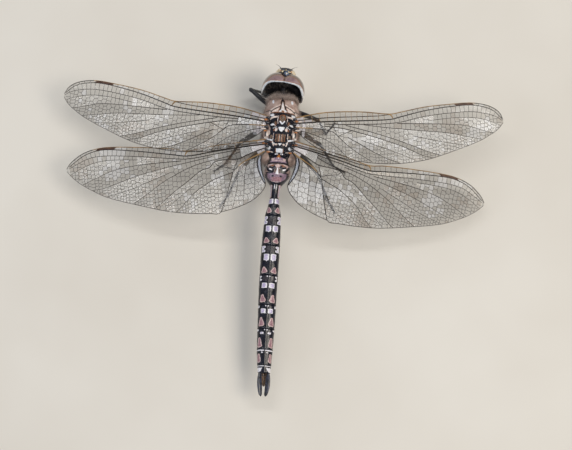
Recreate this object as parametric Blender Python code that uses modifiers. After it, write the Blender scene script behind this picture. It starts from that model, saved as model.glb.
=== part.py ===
"""Azure hawker dragonfly (male, Aeshna caerulea type), life size, at rest with its wings spread.

Frame: +Z up, the floor at z = 0, the head towards -Y, the animal's left towards +X, and the
origin on the floor below the middle of the whole animal. Inside this file a place on the animal
is given in millimetres as (x, f, z): x to its left, f forwards of the wing bases, z above the
floor, and place() turns that into metres in the frame above.
"""
import math

import bmesh
import bpy
from mathutils import Matrix, Vector

# ---------------------------------------------------------------- driving dimensions (mm)
MM = 0.001
GAP = 0.1                      # clear gap between neighbouring plates
BODY_X = 0.11                  # the body's axis lies this far to the left of the origin
WINGS_Y = -19.16               # and the front wing bases this far towards the head

HEAD_AT = (0.0, 8.5, 10.5)     # centre of the head
HEAD_PITCH = 18.0              # degrees, nose down
HEAD_TURN = -4.5               # degrees, nose towards the animal's right
WAIST_Z, TAIL_Z = 9.55, 6.2    # height of the abdomen's axis at its waist and at its tip
WAIST_F, TAIL_F = -11.0, -46.95
SEGMENT_ENDS = (-5.0, -7.15, -11.0, -17.0, -22.8, -28.5, -34.15, -38.7, -42.6, -45.55, -46.95)

WING_THICK = 0.5
LEG_SIDES = 8
FLAT_SIDE = math.cos(math.pi / LEG_SIDES)     # from a leg's axis to the flat under its foot

COLOURS = {                    # linear base colour, roughness
    "black_shell": ((0.012, 0.012, 0.016), 0.35),
    "brown_shell": ((0.16, 0.10, 0.07), 0.55),
    "violet_shell": ((0.30, 0.20, 0.21), 0.45),
    "eye_brown": ((0.20, 0.12, 0.10), 0.2),
    "face_cream": ((0.55, 0.47, 0.34), 0.4),
    "wing_membrane": ((0.30, 0.27, 0.22), 0.3),
}


# ---------------------------------------------------------------- scene, materials, helpers
def clear_scene():
    for thing in list(bpy.data.objects):
        bpy.data.objects.remove(thing)


def new_collection(name):
    collection = bpy.data.collections.new(name)
    bpy.context.scene.collection.children.link(collection)
    return collection


def make_materials():
    made = {}
    for name, (colour, roughness) in COLOURS.items():
        material = bpy.data.materials.new(name)
        material.use_nodes = True
        shader = material.node_tree.nodes["Principled BSDF"]
        shader.inputs["Base Color"].default_value = (*colour, 1.0)
        shader.inputs["Roughness"].default_value = roughness
        made[name] = material
    return made


def place(x, f, z):
    return Vector(((x + BODY_X) * MM, (WINGS_Y - f) * MM, z * MM))


def finish(thing, material):
    thing.data.materials.append(MATERIALS[material])
    thing.data.shade_smooth()
    thing.data.set_sharp_from_angle(angle=math.radians(40))


def add_piece(name, mesh, material):
    thing = bpy.data.objects.new(name, mesh)
    MODEL.objects.link(thing)
    finish(thing, material)
    return thing


def loft(rings):
    """A closed mesh through rings of equally many points, with a flat cap at both ends."""
    bm = bmesh.new()
    loops = [[bm.verts.new(point) for point in ring] for ring in rings]
    count = len(loops[0])
    for one, two in zip(loops, loops[1:]):
        for k in range(count):
            bm.faces.new((one[k], one[(k + 1) % count], two[(k + 1) % count], two[k]))
    bm.faces.new(list(reversed(loops[0])))
    bm.faces.new(loops[-1])
    bmesh.ops.recalc_face_normals(bm, faces=bm.faces[:])
    mesh = bpy.data.meshes.new("loft")
    bm.to_mesh(mesh)
    bm.free()
    return mesh


def between(points, at):
    """The value at `at` on a smooth curve through (place, value, ...) points, sorted by place."""
    points = sorted(points)
    at = min(max(at, points[0][0]), points[-1][0])
    k = max(i for i in range(len(points) - 1) if points[i][0] <= at)
    t = (at - points[k][0]) / (points[k + 1][0] - points[k][0])
    before, after = points[max(k - 1, 0)], points[min(k + 2, len(points) - 1)]
    values = []
    for column in range(1, len(points[0])):
        p, q = points[k][column], points[k + 1][column]
        span = points[k + 1][0] - points[k][0]
        slope_p = (q - before[column]) / max(points[k + 1][0] - before[0], 1e-6) * span
        slope_q = (after[column] - p) / max(after[0] - points[k][0], 1e-6) * span
        h = t * t * (3 - 2 * t)
        values.append(p + (q - p) * h + slope_p * t * (1 - t) ** 2 - slope_q * t * t * (1 - t))
    return values[0] if len(values) == 1 else values


def section(f, z, half_width, up, down, sides, squareness=2.2):
    """One upright oval ring round the body's axis, with its own height above and below z."""
    ring = []
    for k in range(sides):
        angle = 2 * math.pi * (k + 0.5) / sides
        across, rise = math.cos(angle), math.sin(angle)
        x = half_width * math.copysign(abs(across) ** (2 / squareness), across)
        high = (up if rise > 0 else down) * math.copysign(abs(rise) ** (2 / squareness), rise)
        ring.append(place(x, f, z + high))
    return ring


def ellipsoid(name, centre, radii, frame, collection, rings=(22, 14), grow=0.0):
    """An ellipsoid given in mm in the space of an empty, as an object parented to it."""
    bm = bmesh.new()
    bmesh.ops.create_uvsphere(bm, u_segments=rings[0], v_segments=rings[1], radius=1.0)
    size = [(radius + grow) * MM for radius in radii]
    bm.transform(Matrix.Translation(Vector(centre) * MM) @ Matrix.Diagonal((*size, 1.0)))
    mesh = bpy.data.meshes.new(name)
    bm.to_mesh(mesh)
    bm.free()
    thing = bpy.data.objects.new(name, mesh)
    collection.objects.link(thing)
    thing.parent = frame
    return thing


def as_cutter(thing):
    thing.hide_render = True
    thing.display_type = "WIRE"
    return thing


def cut(thing, cutters):
    for cutter in cutters:
        boolean = thing.modifiers.new("cut_" + cutter.name, "BOOLEAN")
        boolean.operation = "DIFFERENCE"
        boolean.object = cutter


# ---------------------------------------------------------------- head
# centre (x, back, up) and radii of each rounded piece, in the head's own frame, nose to -Y
SKULL = ((0.0, 0.9, -0.2), (3.5, 3.05, 2.75))
EYE = ((1.25, 1.15, 0.1), (2.95, 3.75, 3.15))
REAR_HOLLOW = ((0.0, 4.24, 0.0), (4.42, 4.42, 4.42))
HOLLOW_HALF = 3.75             # half width of the hollow's straight rim
HOLLOW_OPENS = (2.3, 0.7, 0.3)   # where it starts to open to the sides, over what length, how much
FACE_OPENING = ((0.0, -2.9, -1.9), (2.15, 3.4, 2.95))
FACE_PIECES = (
    ("frons", (0.0, -2.45, 0.1), (2.05, 1.85, 1.2)),
    ("clypeus", (0.0, -2.5, -1.4), (1.9, 1.55, 1.05)),
    ("labrum", (0.0, -2.2, -2.6), (1.7, 1.35, 0.85)),
    ("labium", (0.0, -0.7, -2.85), (1.8, 1.9, 0.85)),
)
VERTEX = ((0.0, -1.75, 1.95), (0.8, 0.75, 0.7))
ANTENNA_ROOT, ANTENNA_TIP = (0.75, -2.35, 2.15), (2.2, -3.95, 1.7)


def new_box(name, centre, half_sizes, frame):
    bm = bmesh.new()
    bmesh.ops.create_cube(bm, size=2.0)
    size = [half * MM for half in half_sizes]
    bm.transform(Matrix.Translation(Vector(centre) * MM) @ Matrix.Diagonal((*size, 1.0)))
    mesh = bpy.data.meshes.new(name)
    bm.to_mesh(mesh)
    bm.free()
    box = bpy.data.objects.new(name, mesh)
    CUTTERS.objects.link(box)
    box.parent = frame
    return as_cutter(box)


def head_frame():
    frame = bpy.data.objects.new("head_frame", None)
    MODEL.objects.link(frame)
    frame.location = place(*HEAD_AT)
    frame.rotation_euler = (math.radians(HEAD_PITCH), 0.0, math.radians(HEAD_TURN))
    return frame


def grown(name, shape, frame):
    """A cutter one gap larger than a rounded piece."""
    return as_cutter(ellipsoid("around_" + name, *shape, frame, CUTTERS, grow=GAP))


def squared(hollow):
    """Straightens the rim of the hollow across the head and opens it to the sides at the back."""
    centre, radius = REAR_HOLLOW[0][1] * MM, REAR_HOLLOW[1][0] * MM
    start, length, more = HOLLOW_OPENS
    for vert in hollow.data.vertices:
        x, back = vert.co.x, vert.co.y - centre
        reach = math.hypot(x, back)
        if reach < 1e-9:
            continue
        along, across = back / reach, x / reach
        back = math.copysign(abs(along) ** (2 / 3), along) * reach
        x = math.copysign(abs(across) ** (2 / 3), across) * reach * HOLLOW_HALF * MM / radius
        opened = min(1.0, max(0.0, ((centre + back) / MM - start) / length))
        vert.co.x, vert.co.y = x * (1 + more * opened), centre + back


def make_head():
    frame = head_frame()
    hollow = as_cutter(ellipsoid("rear_hollow", *REAR_HOLLOW, frame, CUTTERS, rings=(28, 18)))
    squared(hollow)
    opening = as_cutter(ellipsoid("face_opening", *FACE_OPENING, frame, CUTTERS))
    skull = ellipsoid("head", *SKULL, frame, MODEL)
    finish(skull, "black_shell")
    cut(skull, [hollow])

    around = [grown("skull", SKULL, frame)]
    for name, centre, radii in FACE_PIECES:
        piece = ellipsoid(name, centre, radii, frame, MODEL, rings=(16, 10))
        finish(piece, "face_cream")
        cut(piece, around)
        around.append(grown(name, (centre, radii), frame))
    vertex = ellipsoid("vertex", *VERTEX, frame, MODEL, rings=(14, 8))
    finish(vertex, "black_shell")
    cut(vertex, around)
    around.append(grown("vertex", VERTEX, frame))

    for side, word in ((1, "left"), (-1, "right")):
        (x, back, up), radii = EYE
        eye = ellipsoid("eye_" + word, (x * side, back, up), radii, frame, MODEL, rings=(24, 16))
        finish(eye, "eye_brown")
        other_half = new_box("beyond_seam_" + word, (-side * (5 - GAP / 2), 0, 0), (5, 9, 9), frame)
        cut(eye, around + [hollow, opening, other_half])
        make_antenna(side, word, frame)


def make_antenna(side, word, frame):
    """A short feeler: a stout base joint that tapers into a bristle."""
    root = Vector((ANTENNA_ROOT[0] * side, *ANTENNA_ROOT[1:])) * MM
    tip = Vector((ANTENNA_TIP[0] * side, *ANTENNA_TIP[1:])) * MM
    mesh = loft(tube_rings([root, root.lerp(tip, 0.3), tip], (0.3, 0.26, 0.25), 6))
    thing = add_piece("antenna_" + word, mesh, "black_shell")
    thing.parent = frame


# ---------------------------------------------------------------- tubes and legs
def tube_rings(points, radii, sides, start_normal=None, end_normal=None):
    """Rings round a straight-sided path; the end rings are slid onto planes with given normals."""
    axis = (points[-1] - points[0]).normalized()
    across = axis.cross(Vector((0, 0, 1))).normalized()
    upward = across.cross(axis)
    rings = []
    for i, (point, radius) in enumerate(zip(points, radii)):
        normal = axis
        if i == 0 and start_normal:
            normal = start_normal
        if i == len(points) - 1 and end_normal:
            normal = end_normal
        ring = []
        for k in range(sides):
            angle = 2 * math.pi * (k + 0.5) / sides
            offset = (across * math.cos(angle) + upward * math.sin(angle)) * radius * MM
            slide = -offset.dot(normal) / axis.dot(normal)
            ring.append(point + offset + axis * slide)
        rings.append(ring)
    return rings


# joints of each leg in mm, x outwards: hip, end of coxa, knee, and ankle and toe on the floor
LEGS = {
    ("fore", "left"): ((1.2, 4.9, 5.3), (2.0, 6.0, 4.4), (6.6, 9.3, 5.3), (2.7, 9.9), (1.5, 12.4)),
    ("fore", "right"): ((1.2, 4.9, 5.3), (2.2, 5.7, 4.4), (7.2, 3.7, 5.8), (8.9, 2.6), (10.6, 5.0)),
    ("mid", "left"): ((1.3, 2.1, 4.9), (2.5, 2.7, 3.9), (7.7, -1.7, 5.6), (10.4, -4.7), (12.6, -6.5)),
    ("mid", "right"): ((1.3, 2.1, 4.9), (2.5, 2.3, 3.9), (7.9, -1.2, 5.6), (10.6, -3.7), (13.1, -5.0)),
    ("hind", "left"): ((1.3, -1.0, 5.0), (2.5, -1.4, 3.9), (7.4, -7.2, 5.8), (9.6, -11.4), (10.9, -13.6)),
    ("hind", "right"): ((1.3, -1.0, 5.0), (2.5, -1.4, 3.9), (7.6, -7.0, 5.7), (10.1, -10.9), (11.6, -13.2)),
}
COXA_RADII, FEMUR_RADII = (0.8, 0.62), (0.45, 0.5, 0.36)
TIBIA_RADII, FOOT_RADII = (0.34, 0.3, 0.27), (0.27, 0.27, 0.25)


def leg_piece(name, start, end, radii, start_normal, end_normal):
    """One limb length between two joint planes, held half a gap back from each of them."""
    way = (end - start).normalized()
    start = start + way * (GAP / 2 * MM / way.dot(start_normal))
    end = end - way * (GAP / 2 * MM / way.dot(end_normal))
    steps = len(radii) - 1
    points = [start.lerp(end, i / steps) for i in range(steps + 1)]
    mesh = loft(tube_rings(points, radii, LEG_SIDES, start_normal, end_normal))
    return add_piece(name, mesh, "black_shell")


def make_leg(pair, word, thorax_cutter):
    side = 1 if word == "left" else -1
    hip, coxa_end, knee, ankle, toe = LEGS[pair, word]
    floor_z = FOOT_RADII[0] * FLAT_SIDE
    joints = [place(side * point[0], point[1], point[2]) for point in (hip, coxa_end, knee)]
    joints.append(place(side * ankle[0], ankle[1], floor_z))
    joints.append(place(side * toe[0], toe[1], floor_z))
    ways = [(b - a).normalized() for a, b in zip(joints, joints[1:])]
    normals = [ways[0]] + [(a + b).normalized() for a, b in zip(ways, ways[1:])] + [ways[-1]]
    names = ("coxa", "femur", "tibia", "tarsus")
    radii = (COXA_RADII, FEMUR_RADII, TIBIA_RADII, FOOT_RADII)
    for i, (name, size) in enumerate(zip(names, radii)):
        piece = leg_piece(f"{pair}leg_{word}_{name}", joints[i], joints[i + 1], size,
                          normals[i], normals[i + 1])
        if name == "coxa":
            cut(piece, [thorax_cutter])


# ---------------------------------------------------------------- thorax and neck
# place along the axis, axis height, half width, height above and below the axis
THORAX_RINGS = (
    (6.3, 9.5, 2.3, 2.0, 1.5), (5.3, 9.2, 2.9, 3.2, 2.7), (3.9, 8.9, 3.3, 4.4, 4.0),
    (2.0, 8.9, 3.5, 5.0, 4.6), (0.2, 8.9, 3.5, 5.0, 4.5), (-1.6, 8.9, 3.55, 4.5, 4.1),
    (-3.2, 8.9, 3.6, 3.8, 3.6), (-4.8, 8.9, 3.6, 2.9, 3.1), (-6.0, 8.7, 3.35, 2.0, 2.5),
    (-6.6, 8.6, 2.9, 1.4, 2.0),
)
PROTHORAX_RINGS = ((7.25, 10.0, 1.1, 0.9, 0.9), (6.9, 9.9, 1.8, 1.4, 1.5), (6.4, 9.7, 2.1, 1.7, 1.8))


def thorax_mesh(grow):
    rings = [section(f, z, half + grow, up + grow, down + grow, 24, 2.3)
             for f, z, half, up, down in THORAX_RINGS]
    return loft(rings)


def make_thorax():
    thorax = add_piece("thorax", thorax_mesh(0.0), "brown_shell")
    around_abdomen = bpy.data.objects.new("around_abdomen", loft(abdomen_rings(-4.9, -8.0, 5, GAP * 2)))
    CUTTERS.objects.link(as_cutter(around_abdomen))
    cut(thorax, [around_abdomen])
    around = bpy.data.objects.new("around_thorax", thorax_mesh(GAP))
    CUTTERS.objects.link(as_cutter(around))
    collar = loft([section(f, z, half, up, down, 16) for f, z, half, up, down in PROTHORAX_RINGS])
    add_piece("prothorax", collar, "brown_shell")
    neck = loft([section(f, 10.05, 0.55, 0.5, 0.5, 10) for f in (8.05, 7.35)])
    add_piece("neck", neck, "black_shell")
    return around


# ---------------------------------------------------------------- abdomen
# place along the axis, half width, height above and below the axis
ABDOMEN_SHAPE = (
    (-4.9, 1.65, 1.6, 1.7), (-6.0, 1.9, 1.95, 1.9), (-7.15, 2.15, 2.1, 2.05), (-8.3, 2.6, 2.2, 2.15),
    (-9.2, 2.5, 2.1, 2.1), (-10.2, 1.8, 1.75, 1.7), (-11.0, 1.15, 1.4, 1.3), (-11.9, 0.9, 1.2, 1.1),
    (-13.3, 0.86, 1.15, 1.05), (-14.8, 1.05, 1.25, 1.1), (-16.2, 1.38, 1.35, 1.2),
    (-17.0, 1.52, 1.4, 1.25), (-19.5, 1.66, 1.45, 1.3), (-22.8, 1.76, 1.5, 1.3),
    (-28.5, 1.76, 1.5, 1.3), (-34.15, 1.7, 1.45, 1.3), (-38.7, 1.62, 1.4, 1.25),
    (-42.6, 1.5, 1.3, 1.15), (-45.55, 1.32, 1.15, 1.0), (-46.95, 1.15, 0.95, 0.9),
)


# how far the abdomen's axis strays to the animal's left along its length
SWAY = (
    (-50.0, 0.0), (-47.0, 0.08), (-44.0, 0.2), (-36.0, 0.32), (-30.0, 0.42), (-20.0, 0.4),
    (-13.0, 0.34), (-11.0, 0.25), (-8.0, 0.1), (-5.0, 0.0),
)


def swayed(ring, f, aside=0.0):
    """A ring moved sideways with the abdomen's axis at f, and by `aside` more."""
    shift = Vector(((between(SWAY, f) + aside) * MM, 0, 0))
    return [point + shift for point in ring]


def axis_height(f):
    slope = (WAIST_Z - TAIL_Z) / (WAIST_F - TAIL_F)
    return min(WAIST_Z + (f - WAIST_F) * slope, WAIST_Z + 0.25)


def abdomen_rings(front, back, count, grow=0.0):
    rings = []
    for i in range(count):
        f = front + (back - front) * i / (count - 1)
        half, up, down = between(ABDOMEN_SHAPE, f)
        rings.append(swayed(section(f, axis_height(f), half + grow, up + grow, down + grow, 18), f))
    return rings


def make_abdomen():
    for number, (front, back) in enumerate(zip(SEGMENT_ENDS, SEGMENT_ENDS[1:]), start=1):
        count = 7 if number in (2, 3) else 4
        mesh = loft(abdomen_rings(front - GAP / 2, back + GAP / 2, count))
        colour = "violet_shell" if number < 3 else "black_shell"
        add_piece(f"abdomen_{number}", mesh, colour)


# the claspers: place along the axis, distance from the middle, half width, half thickness, height
CERCUS_SHAPE = (
    (-47.05, 0.72, 0.3, 0.3, 6.3), (-47.9, 0.85, 0.4, 0.3, 6.3), (-49.2, 0.88, 0.46, 0.28, 6.2),
    (-50.3, 0.74, 0.38, 0.26, 6.0), (-51.0, 0.56, 0.28, 0.25, 5.85), (-51.3, 0.46, 0.2, 0.2, 5.8),
)
EPIPROCT_SHAPE = ((-47.05, 0.5, 0.3, 5.55), (-48.2, 0.42, 0.28, 5.3), (-49.3, 0.28, 0.25, 5.25))


def make_claspers():
    for side, word in ((1, "left"), (-1, "right")):
        rings = [swayed(section(f, z, half, thick, thick, 8), f, side * out)
                 for f, out, half, thick, z in CERCUS_SHAPE]
        add_piece("cercus_" + word, loft(rings), "black_shell")
    rings = [swayed(section(f, z, half, thick, thick, 8), f) for f, half, thick, z in EPIPROCT_SHAPE]
    add_piece("epiproct", loft(rings), "black_shell")


# ---------------------------------------------------------------- wings
# each wing in its own flat frame: s from the base to the tip, c rearwards of the base-tip line
FORE_LENGTH, HIND_LENGTH = 40.1, 38.8
FORE_FRONT = ((0, -0.2), (4.7, -1.15), (8.5, -1.45), (13.0, -1.45), (18.2, -1.1), (20.2, -1.5),
              (25.0, -2.6), (30.5, -3.3), (34.0, -3.56), (36.8, -3.2), (38.5, -2.5), (39.6, -1.5),
              (40.1, -0.3))
FORE_BACK = ((0, 2.4), (1.7, 4.1), (4.4, 6.0), (7.0, 7.2), (11.5, 8.3), (18.0, 8.8), (24.6, 8.0),
             (31.0, 5.85), (35.4, 4.0), (37.6, 2.7), (39.2, 1.5), (40.1, 0.3))
HIND_FRONT = ((0, -0.4), (5.0, -0.5), (10.0, -0.55), (15.2, -0.3), (17.9, -1.1), (25.0, -2.5),
              (30.8, -3.35), (33.5, -3.25), (35.6, -2.7), (37.2, -1.8), (38.2, -1.0), (38.8, -0.2))
HIND_BACK = ((0, 2.0), (1.0, 3.0), (1.3, 8.6), (2.5, 10.4), (4.1, 11.4), (8.0, 12.4), (12.0, 12.7),
             (19.0, 11.4), (25.0, 9.3), (31.5, 6.6), (34.6, 4.6), (36.6, 3.0), (38.0, 1.5), (38.8, 0.3))
# name, side, root (x, f, z), length, front and back edges, droop and sweep in degrees
WINGS = (
    ("forewing_left", 1, (2.8, 1.55, 13.0), FORE_LENGTH, FORE_FRONT, FORE_BACK, 6.5, 4.8),
    ("forewing_right", -1, (2.8, 1.55, 13.0), FORE_LENGTH, FORE_FRONT, FORE_BACK, 2.5, 4.5),
    ("hindwing_left", 1, (2.8, -3.0, 11.8), HIND_LENGTH, HIND_FRONT, HIND_BACK, 6.5, -10.2),
    ("hindwing_right", -1, (2.8, -3.0, 11.8), HIND_LENGTH, HIND_FRONT, HIND_BACK, 10.0, -11.2),
)
WING_BEND = 0.0007             # extra droop, mm per mm squared of length
WING_CELLS = (22, 4)


def wing_point(side, root, droop, sweep, s, c):
    """From a wing's flat frame to the animal's: swept in its plane, then drooped and bent."""
    sweep, droop = math.radians(sweep), math.radians(droop)
    out = s * math.cos(sweep) + c * math.sin(sweep)
    forward = s * math.sin(sweep) - c * math.cos(sweep)
    fall = out * math.sin(droop) + WING_BEND * out * out
    return place(side * (root[0] + out * math.cos(droop)), root[1] + forward, root[2] - fall)


def make_wing(name, side, root, length, front, back, droop, sweep, thorax_cutter):
    columns, rows = WING_CELLS
    bm = bmesh.new()
    bmesh.ops.create_grid(bm, x_segments=columns, y_segments=rows, size=0.5)
    for vert in bm.verts:
        along, over = vert.co.x + 0.5, vert.co.y + 0.5
        s = length * math.sin(along * math.pi / 2) ** 1.15
        low, high = between(front, s), between(back, s)
        vert.co = wing_point(side, root, droop, sweep, s, low + (high - low) * over)
    bmesh.ops.recalc_face_normals(bm, faces=bm.faces[:])
    mesh = bpy.data.meshes.new(name)
    bm.to_mesh(mesh)
    bm.free()
    wing = add_piece(name, mesh, "wing_membrane")
    solid = wing.modifiers.new("thickness", "SOLIDIFY")
    solid.thickness = WING_THICK * MM
    solid.offset = 0.0
    cut(wing, [thorax_cutter])


# ---------------------------------------------------------------- build
clear_scene()
MODEL = new_collection("dragonfly")
CUTTERS = new_collection("cutters")
MATERIALS = make_materials()
make_head()
around_thorax = make_thorax()
make_abdomen()
make_claspers()
for leg_pair, leg_side in LEGS:
    make_leg(leg_pair, leg_side, around_thorax)
for wing_values in WINGS:
    make_wing(*wing_values, around_thorax)
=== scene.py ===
"""An azure hawker dragonfly at rest with its wings spread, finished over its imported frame.

A place on the animal is (x, f, z) in millimetres, as in the frame's own source: x to its left,
f forwards of the front wing bases and z above the floor. Every number without another unit is
in millimetres, and place() turns a place into metres in the frame.
"""

import math
import random

import bmesh
import bpy
import numpy as np
from mathutils import Matrix, Vector, noise


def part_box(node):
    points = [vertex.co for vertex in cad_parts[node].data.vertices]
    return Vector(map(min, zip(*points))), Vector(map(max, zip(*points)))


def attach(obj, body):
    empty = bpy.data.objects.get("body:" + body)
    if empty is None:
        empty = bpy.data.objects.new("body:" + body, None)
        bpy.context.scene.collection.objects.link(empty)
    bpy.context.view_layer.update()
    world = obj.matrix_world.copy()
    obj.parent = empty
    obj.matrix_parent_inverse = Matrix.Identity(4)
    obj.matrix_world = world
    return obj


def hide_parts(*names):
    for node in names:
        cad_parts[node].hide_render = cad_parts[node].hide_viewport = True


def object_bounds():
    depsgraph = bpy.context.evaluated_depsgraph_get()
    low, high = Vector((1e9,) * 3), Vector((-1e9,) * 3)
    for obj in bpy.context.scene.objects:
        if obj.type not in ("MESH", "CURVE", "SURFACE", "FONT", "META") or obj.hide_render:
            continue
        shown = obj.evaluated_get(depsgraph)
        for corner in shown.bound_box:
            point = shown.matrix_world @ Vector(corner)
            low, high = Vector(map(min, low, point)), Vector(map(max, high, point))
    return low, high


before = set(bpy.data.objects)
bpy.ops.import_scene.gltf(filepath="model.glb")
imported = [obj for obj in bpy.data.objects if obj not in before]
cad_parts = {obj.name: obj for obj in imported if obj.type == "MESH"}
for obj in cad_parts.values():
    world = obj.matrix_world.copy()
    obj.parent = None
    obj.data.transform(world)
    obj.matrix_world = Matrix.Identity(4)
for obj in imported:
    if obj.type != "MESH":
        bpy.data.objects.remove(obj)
CAD_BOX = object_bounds()
MM = 0.001

# ---------------------------------------------------------------- driving dimensions
THORAX_FRONT = 6.3             # how far the thorax reaches ahead of the front wing bases
THORAX_BACK = -6.6
thorax_low, thorax_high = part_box("thorax")
BODY_X = (thorax_low.x + thorax_high.x) / 2
WINGS_Y = thorax_low.y + THORAX_FRONT * MM

HEAD_AT = (0.0, 8.5, 10.5)
HEAD_PITCH, HEAD_TURN = math.radians(18.0), math.radians(-4.5)
WAIST_F, WAIST_Z, TAIL_F, TAIL_Z = -11.0, 9.55, -46.95, 6.2
SEGMENT_ENDS = (-5.0, -7.15, -11.0, -17.0, -22.8, -28.5, -34.15, -38.7, -42.6, -45.55, -46.95)
GAP = 0.1                      # between neighbouring plates
UPWARDS = Vector((0, 0, 1))


def place(x, f, z):
    return Vector((BODY_X + x * MM, WINGS_Y - f * MM, z * MM))


def on_animal(points):
    """Points in metres as an array of (x, f, z)."""
    points = np.asarray(points, float).reshape(-1, 3)
    return np.stack(((points[:, 0] - BODY_X) / MM, (WINGS_Y - points[:, 1]) / MM, points[:, 2] / MM), 1)


def between(points, at):
    """The value at `at` on a smooth curve through (place, value, ...) points, sorted by place."""
    at = min(max(at, points[0][0]), points[-1][0])
    k = max(i for i in range(len(points) - 1) if points[i][0] <= at)
    t = (at - points[k][0]) / (points[k + 1][0] - points[k][0])
    before, after = points[max(k - 1, 0)], points[min(k + 2, len(points) - 1)]
    values = []
    for column in range(1, len(points[0])):
        p, q = points[k][column], points[k + 1][column]
        span = points[k + 1][0] - points[k][0]
        slope_p = (q - before[column]) / max(points[k + 1][0] - before[0], 1e-6) * span
        slope_q = (after[column] - p) / max(after[0] - points[k][0], 1e-6) * span
        h = t * t * (3 - 2 * t)
        values.append(p + (q - p) * h + slope_p * t * (1 - t) ** 2 - slope_q * t * t * (1 - t))
    return values[0] if len(values) == 1 else values


def fade(value, start, end):
    """0 at start and before, 1 at end and past it, smooth between."""
    t = min(max((value - start) / (end - start), 0.0), 1.0)
    return t * t * (3 - 2 * t)


# ---------------------------------------------------------------- materials
def linear(code):
    """An sRGB hex colour as linear RGBA."""
    channels = [int(code[i:i + 2], 16) / 255 for i in (1, 3, 5)]
    return (*[c / 12.92 if c <= 0.04045 else ((c + 0.055) / 1.055) ** 2.4 for c in channels], 1.0)


def add(tree, kind, sockets, **settings):
    """Adds a node: each socket gets a value or the output it is linked from."""
    node = tree.nodes.new("ShaderNode" + kind)
    for name, value in settings.items():
        setattr(node, name, value)
    for name, value in sockets.items():
        if isinstance(value, bpy.types.NodeSocket):
            tree.links.new(value, node.inputs[name])
        else:
            node.inputs[name].default_value = value
    return node


def new_material(name, roughness, **surface):
    """A material with its shader, the object's coordinates in mm and an empty tree to add to."""
    material = bpy.data.materials.new(name)
    material.use_nodes = True
    tree = material.node_tree
    shader = tree.nodes["Principled BSDF"]
    shader.inputs["Roughness"].default_value = roughness
    for socket, value in surface.items():
        shader.inputs[socket.replace("_", " ")].default_value = value
    where = add(tree, "TexCoord", {}).outputs["Object"]
    in_mm = add(tree, "VectorMath", {0: where, "Scale": 1 / MM}, operation="SCALE").outputs[0]
    return material, tree, shader, in_mm


def mottle(tree, where, size, detail=3.0):
    """Smooth random values, with patches about `size` mm across."""
    return add(tree, "TexNoise", {"Vector": where, "Scale": 1 / size, "Detail": detail}).outputs[0]


def remap(tree, value, low, high, to_low=0.0, to_high=1.0):
    sockets = {0: value, 1: low, 2: high, 3: to_low, 4: to_high}
    return add(tree, "MapRange", sockets).outputs[0]


def blend_colours(tree, share, one, two):
    """Colour one where the share is 0 and colour two where it is 1."""
    return add(tree, "Mix", {0: share, 6: one, 7: two}, data_type="RGBA").outputs[2]


# patterns on chitin in mm, coarser than life where they would be too fine to show
WRINKLES = 0.12                # the real ones are 0.03 apart
PITS = 0.15                    # that the down grows from
LENSES = 0.11                  # the eye's real lenses are 0.04 across
GRAIN = 0.1
# each finish's ground and markings, as the size of its patches and their two tones
ABDOMEN_GROUND = (0.6, "#04050C", "#0F1224")
ABDOMEN_TONES = {
    "tan": (0.3, "#7C6763", "#A28C85"), "brown": (0.3, "#1F1D26", "#3B353A"),
    "mauve": (0.3, "#75606F", "#988293"), "blush": (0.3, "#B89A9A", "#D8C2BE"),
    "pink": (0.25, "#84606A", "#A8828A"), "white": (0.25, "#DAD8E0", "#F4F2F6"),
    "lilac": (0.25, "#A096BA", "#C6BCD8"), "amber": (0.3, "#8A4E28", "#B4763E"),
    "black": ABDOMEN_GROUND,
}
THORAX_GROUND = (0.9, "#9C8278", "#C2ABA1")
THORAX_BLACK = (0.5, "#05060D", "#131627")
THORAX_TONES = {
    "black": THORAX_BLACK, "umber": (0.2, "#4C3F38", "#84705F"),
    "cream": (0.3, "#D4BCB2", "#F0E4DC"), "rust": (0.25, "#5E3826", "#9A6644"),
    "white": (0.3, "#D4D8E2", "#F4F5F8"), "line": THORAX_BLACK,
}
EYE_GROUND = (1.4, "#7E6468", "#A38A8C")
EYE_TONES = {
    "brown": (0.8, "#6A4434", "#84583F"), "dark": (0.8, "#2A1611", "#46281D"),
    "amber": (0.4, "#A8703E", "#A8703E"), "rim": (0.4, "#B4BCC8", "#E4E8EC"),
    # near black where the rear hollow cuts the eye: painted shade in that recess
    "hollow": (0.4, "#0D0C0E", "#0D0C0E"),
}
FACE_GROUND = (0.5, "#C8B490", "#EADCC0")
FACE_TONES = {
    "blue": (0.3, "#3E4A62", "#6C7C96"), "black": (0.3, "#0F1017", "#24252E"),
    "amber": (0.3, "#B46A30", "#B46A30"),
}


def two_tones(tree, where, size, one, two):
    """Two hex colours in smooth patches about `size` mm across."""
    share = remap(tree, mottle(tree, where, size), 0.35, 0.65)
    return blend_colours(tree, share, linear(one), linear(two))


def painted(name, roughness, ground, marks=None, edge=0.03, ragged=0.04, **surface):
    """A material in two tones, with markings laid over them. Each marking is an attribute that
    holds the distance in mm inside its outline, which noise makes slightly ragged."""
    material, tree, shader, where = new_material(name, roughness, **surface)
    colour = two_tones(tree, where, *ground)
    if marks:
        wander = remap(tree, mottle(tree, where, 0.35), 0.3, 0.7, -ragged, ragged)
        for mark, tones in marks.items():
            inside = add(tree, "Attribute", {}, attribute_name=mark).outputs["Fac"]
            moved = add(tree, "Math", {0: inside, 1: wander}, operation="ADD").outputs[0]
            share = remap(tree, moved, -edge, edge)
            colour = blend_colours(tree, share, colour, two_tones(tree, where, *tones))
    tree.links.new(colour, shader.inputs["Base Color"])
    return material, tree, shader, where


def bump(tree, shader, height, depth):
    """Bumps of `depth` mm from a 0-1 height."""
    node = add(tree, "Bump", {"Height": height, "Distance": depth * MM, "Strength": 1.0})
    tree.links.new(node.outputs[0], shader.inputs["Normal"])


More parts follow.
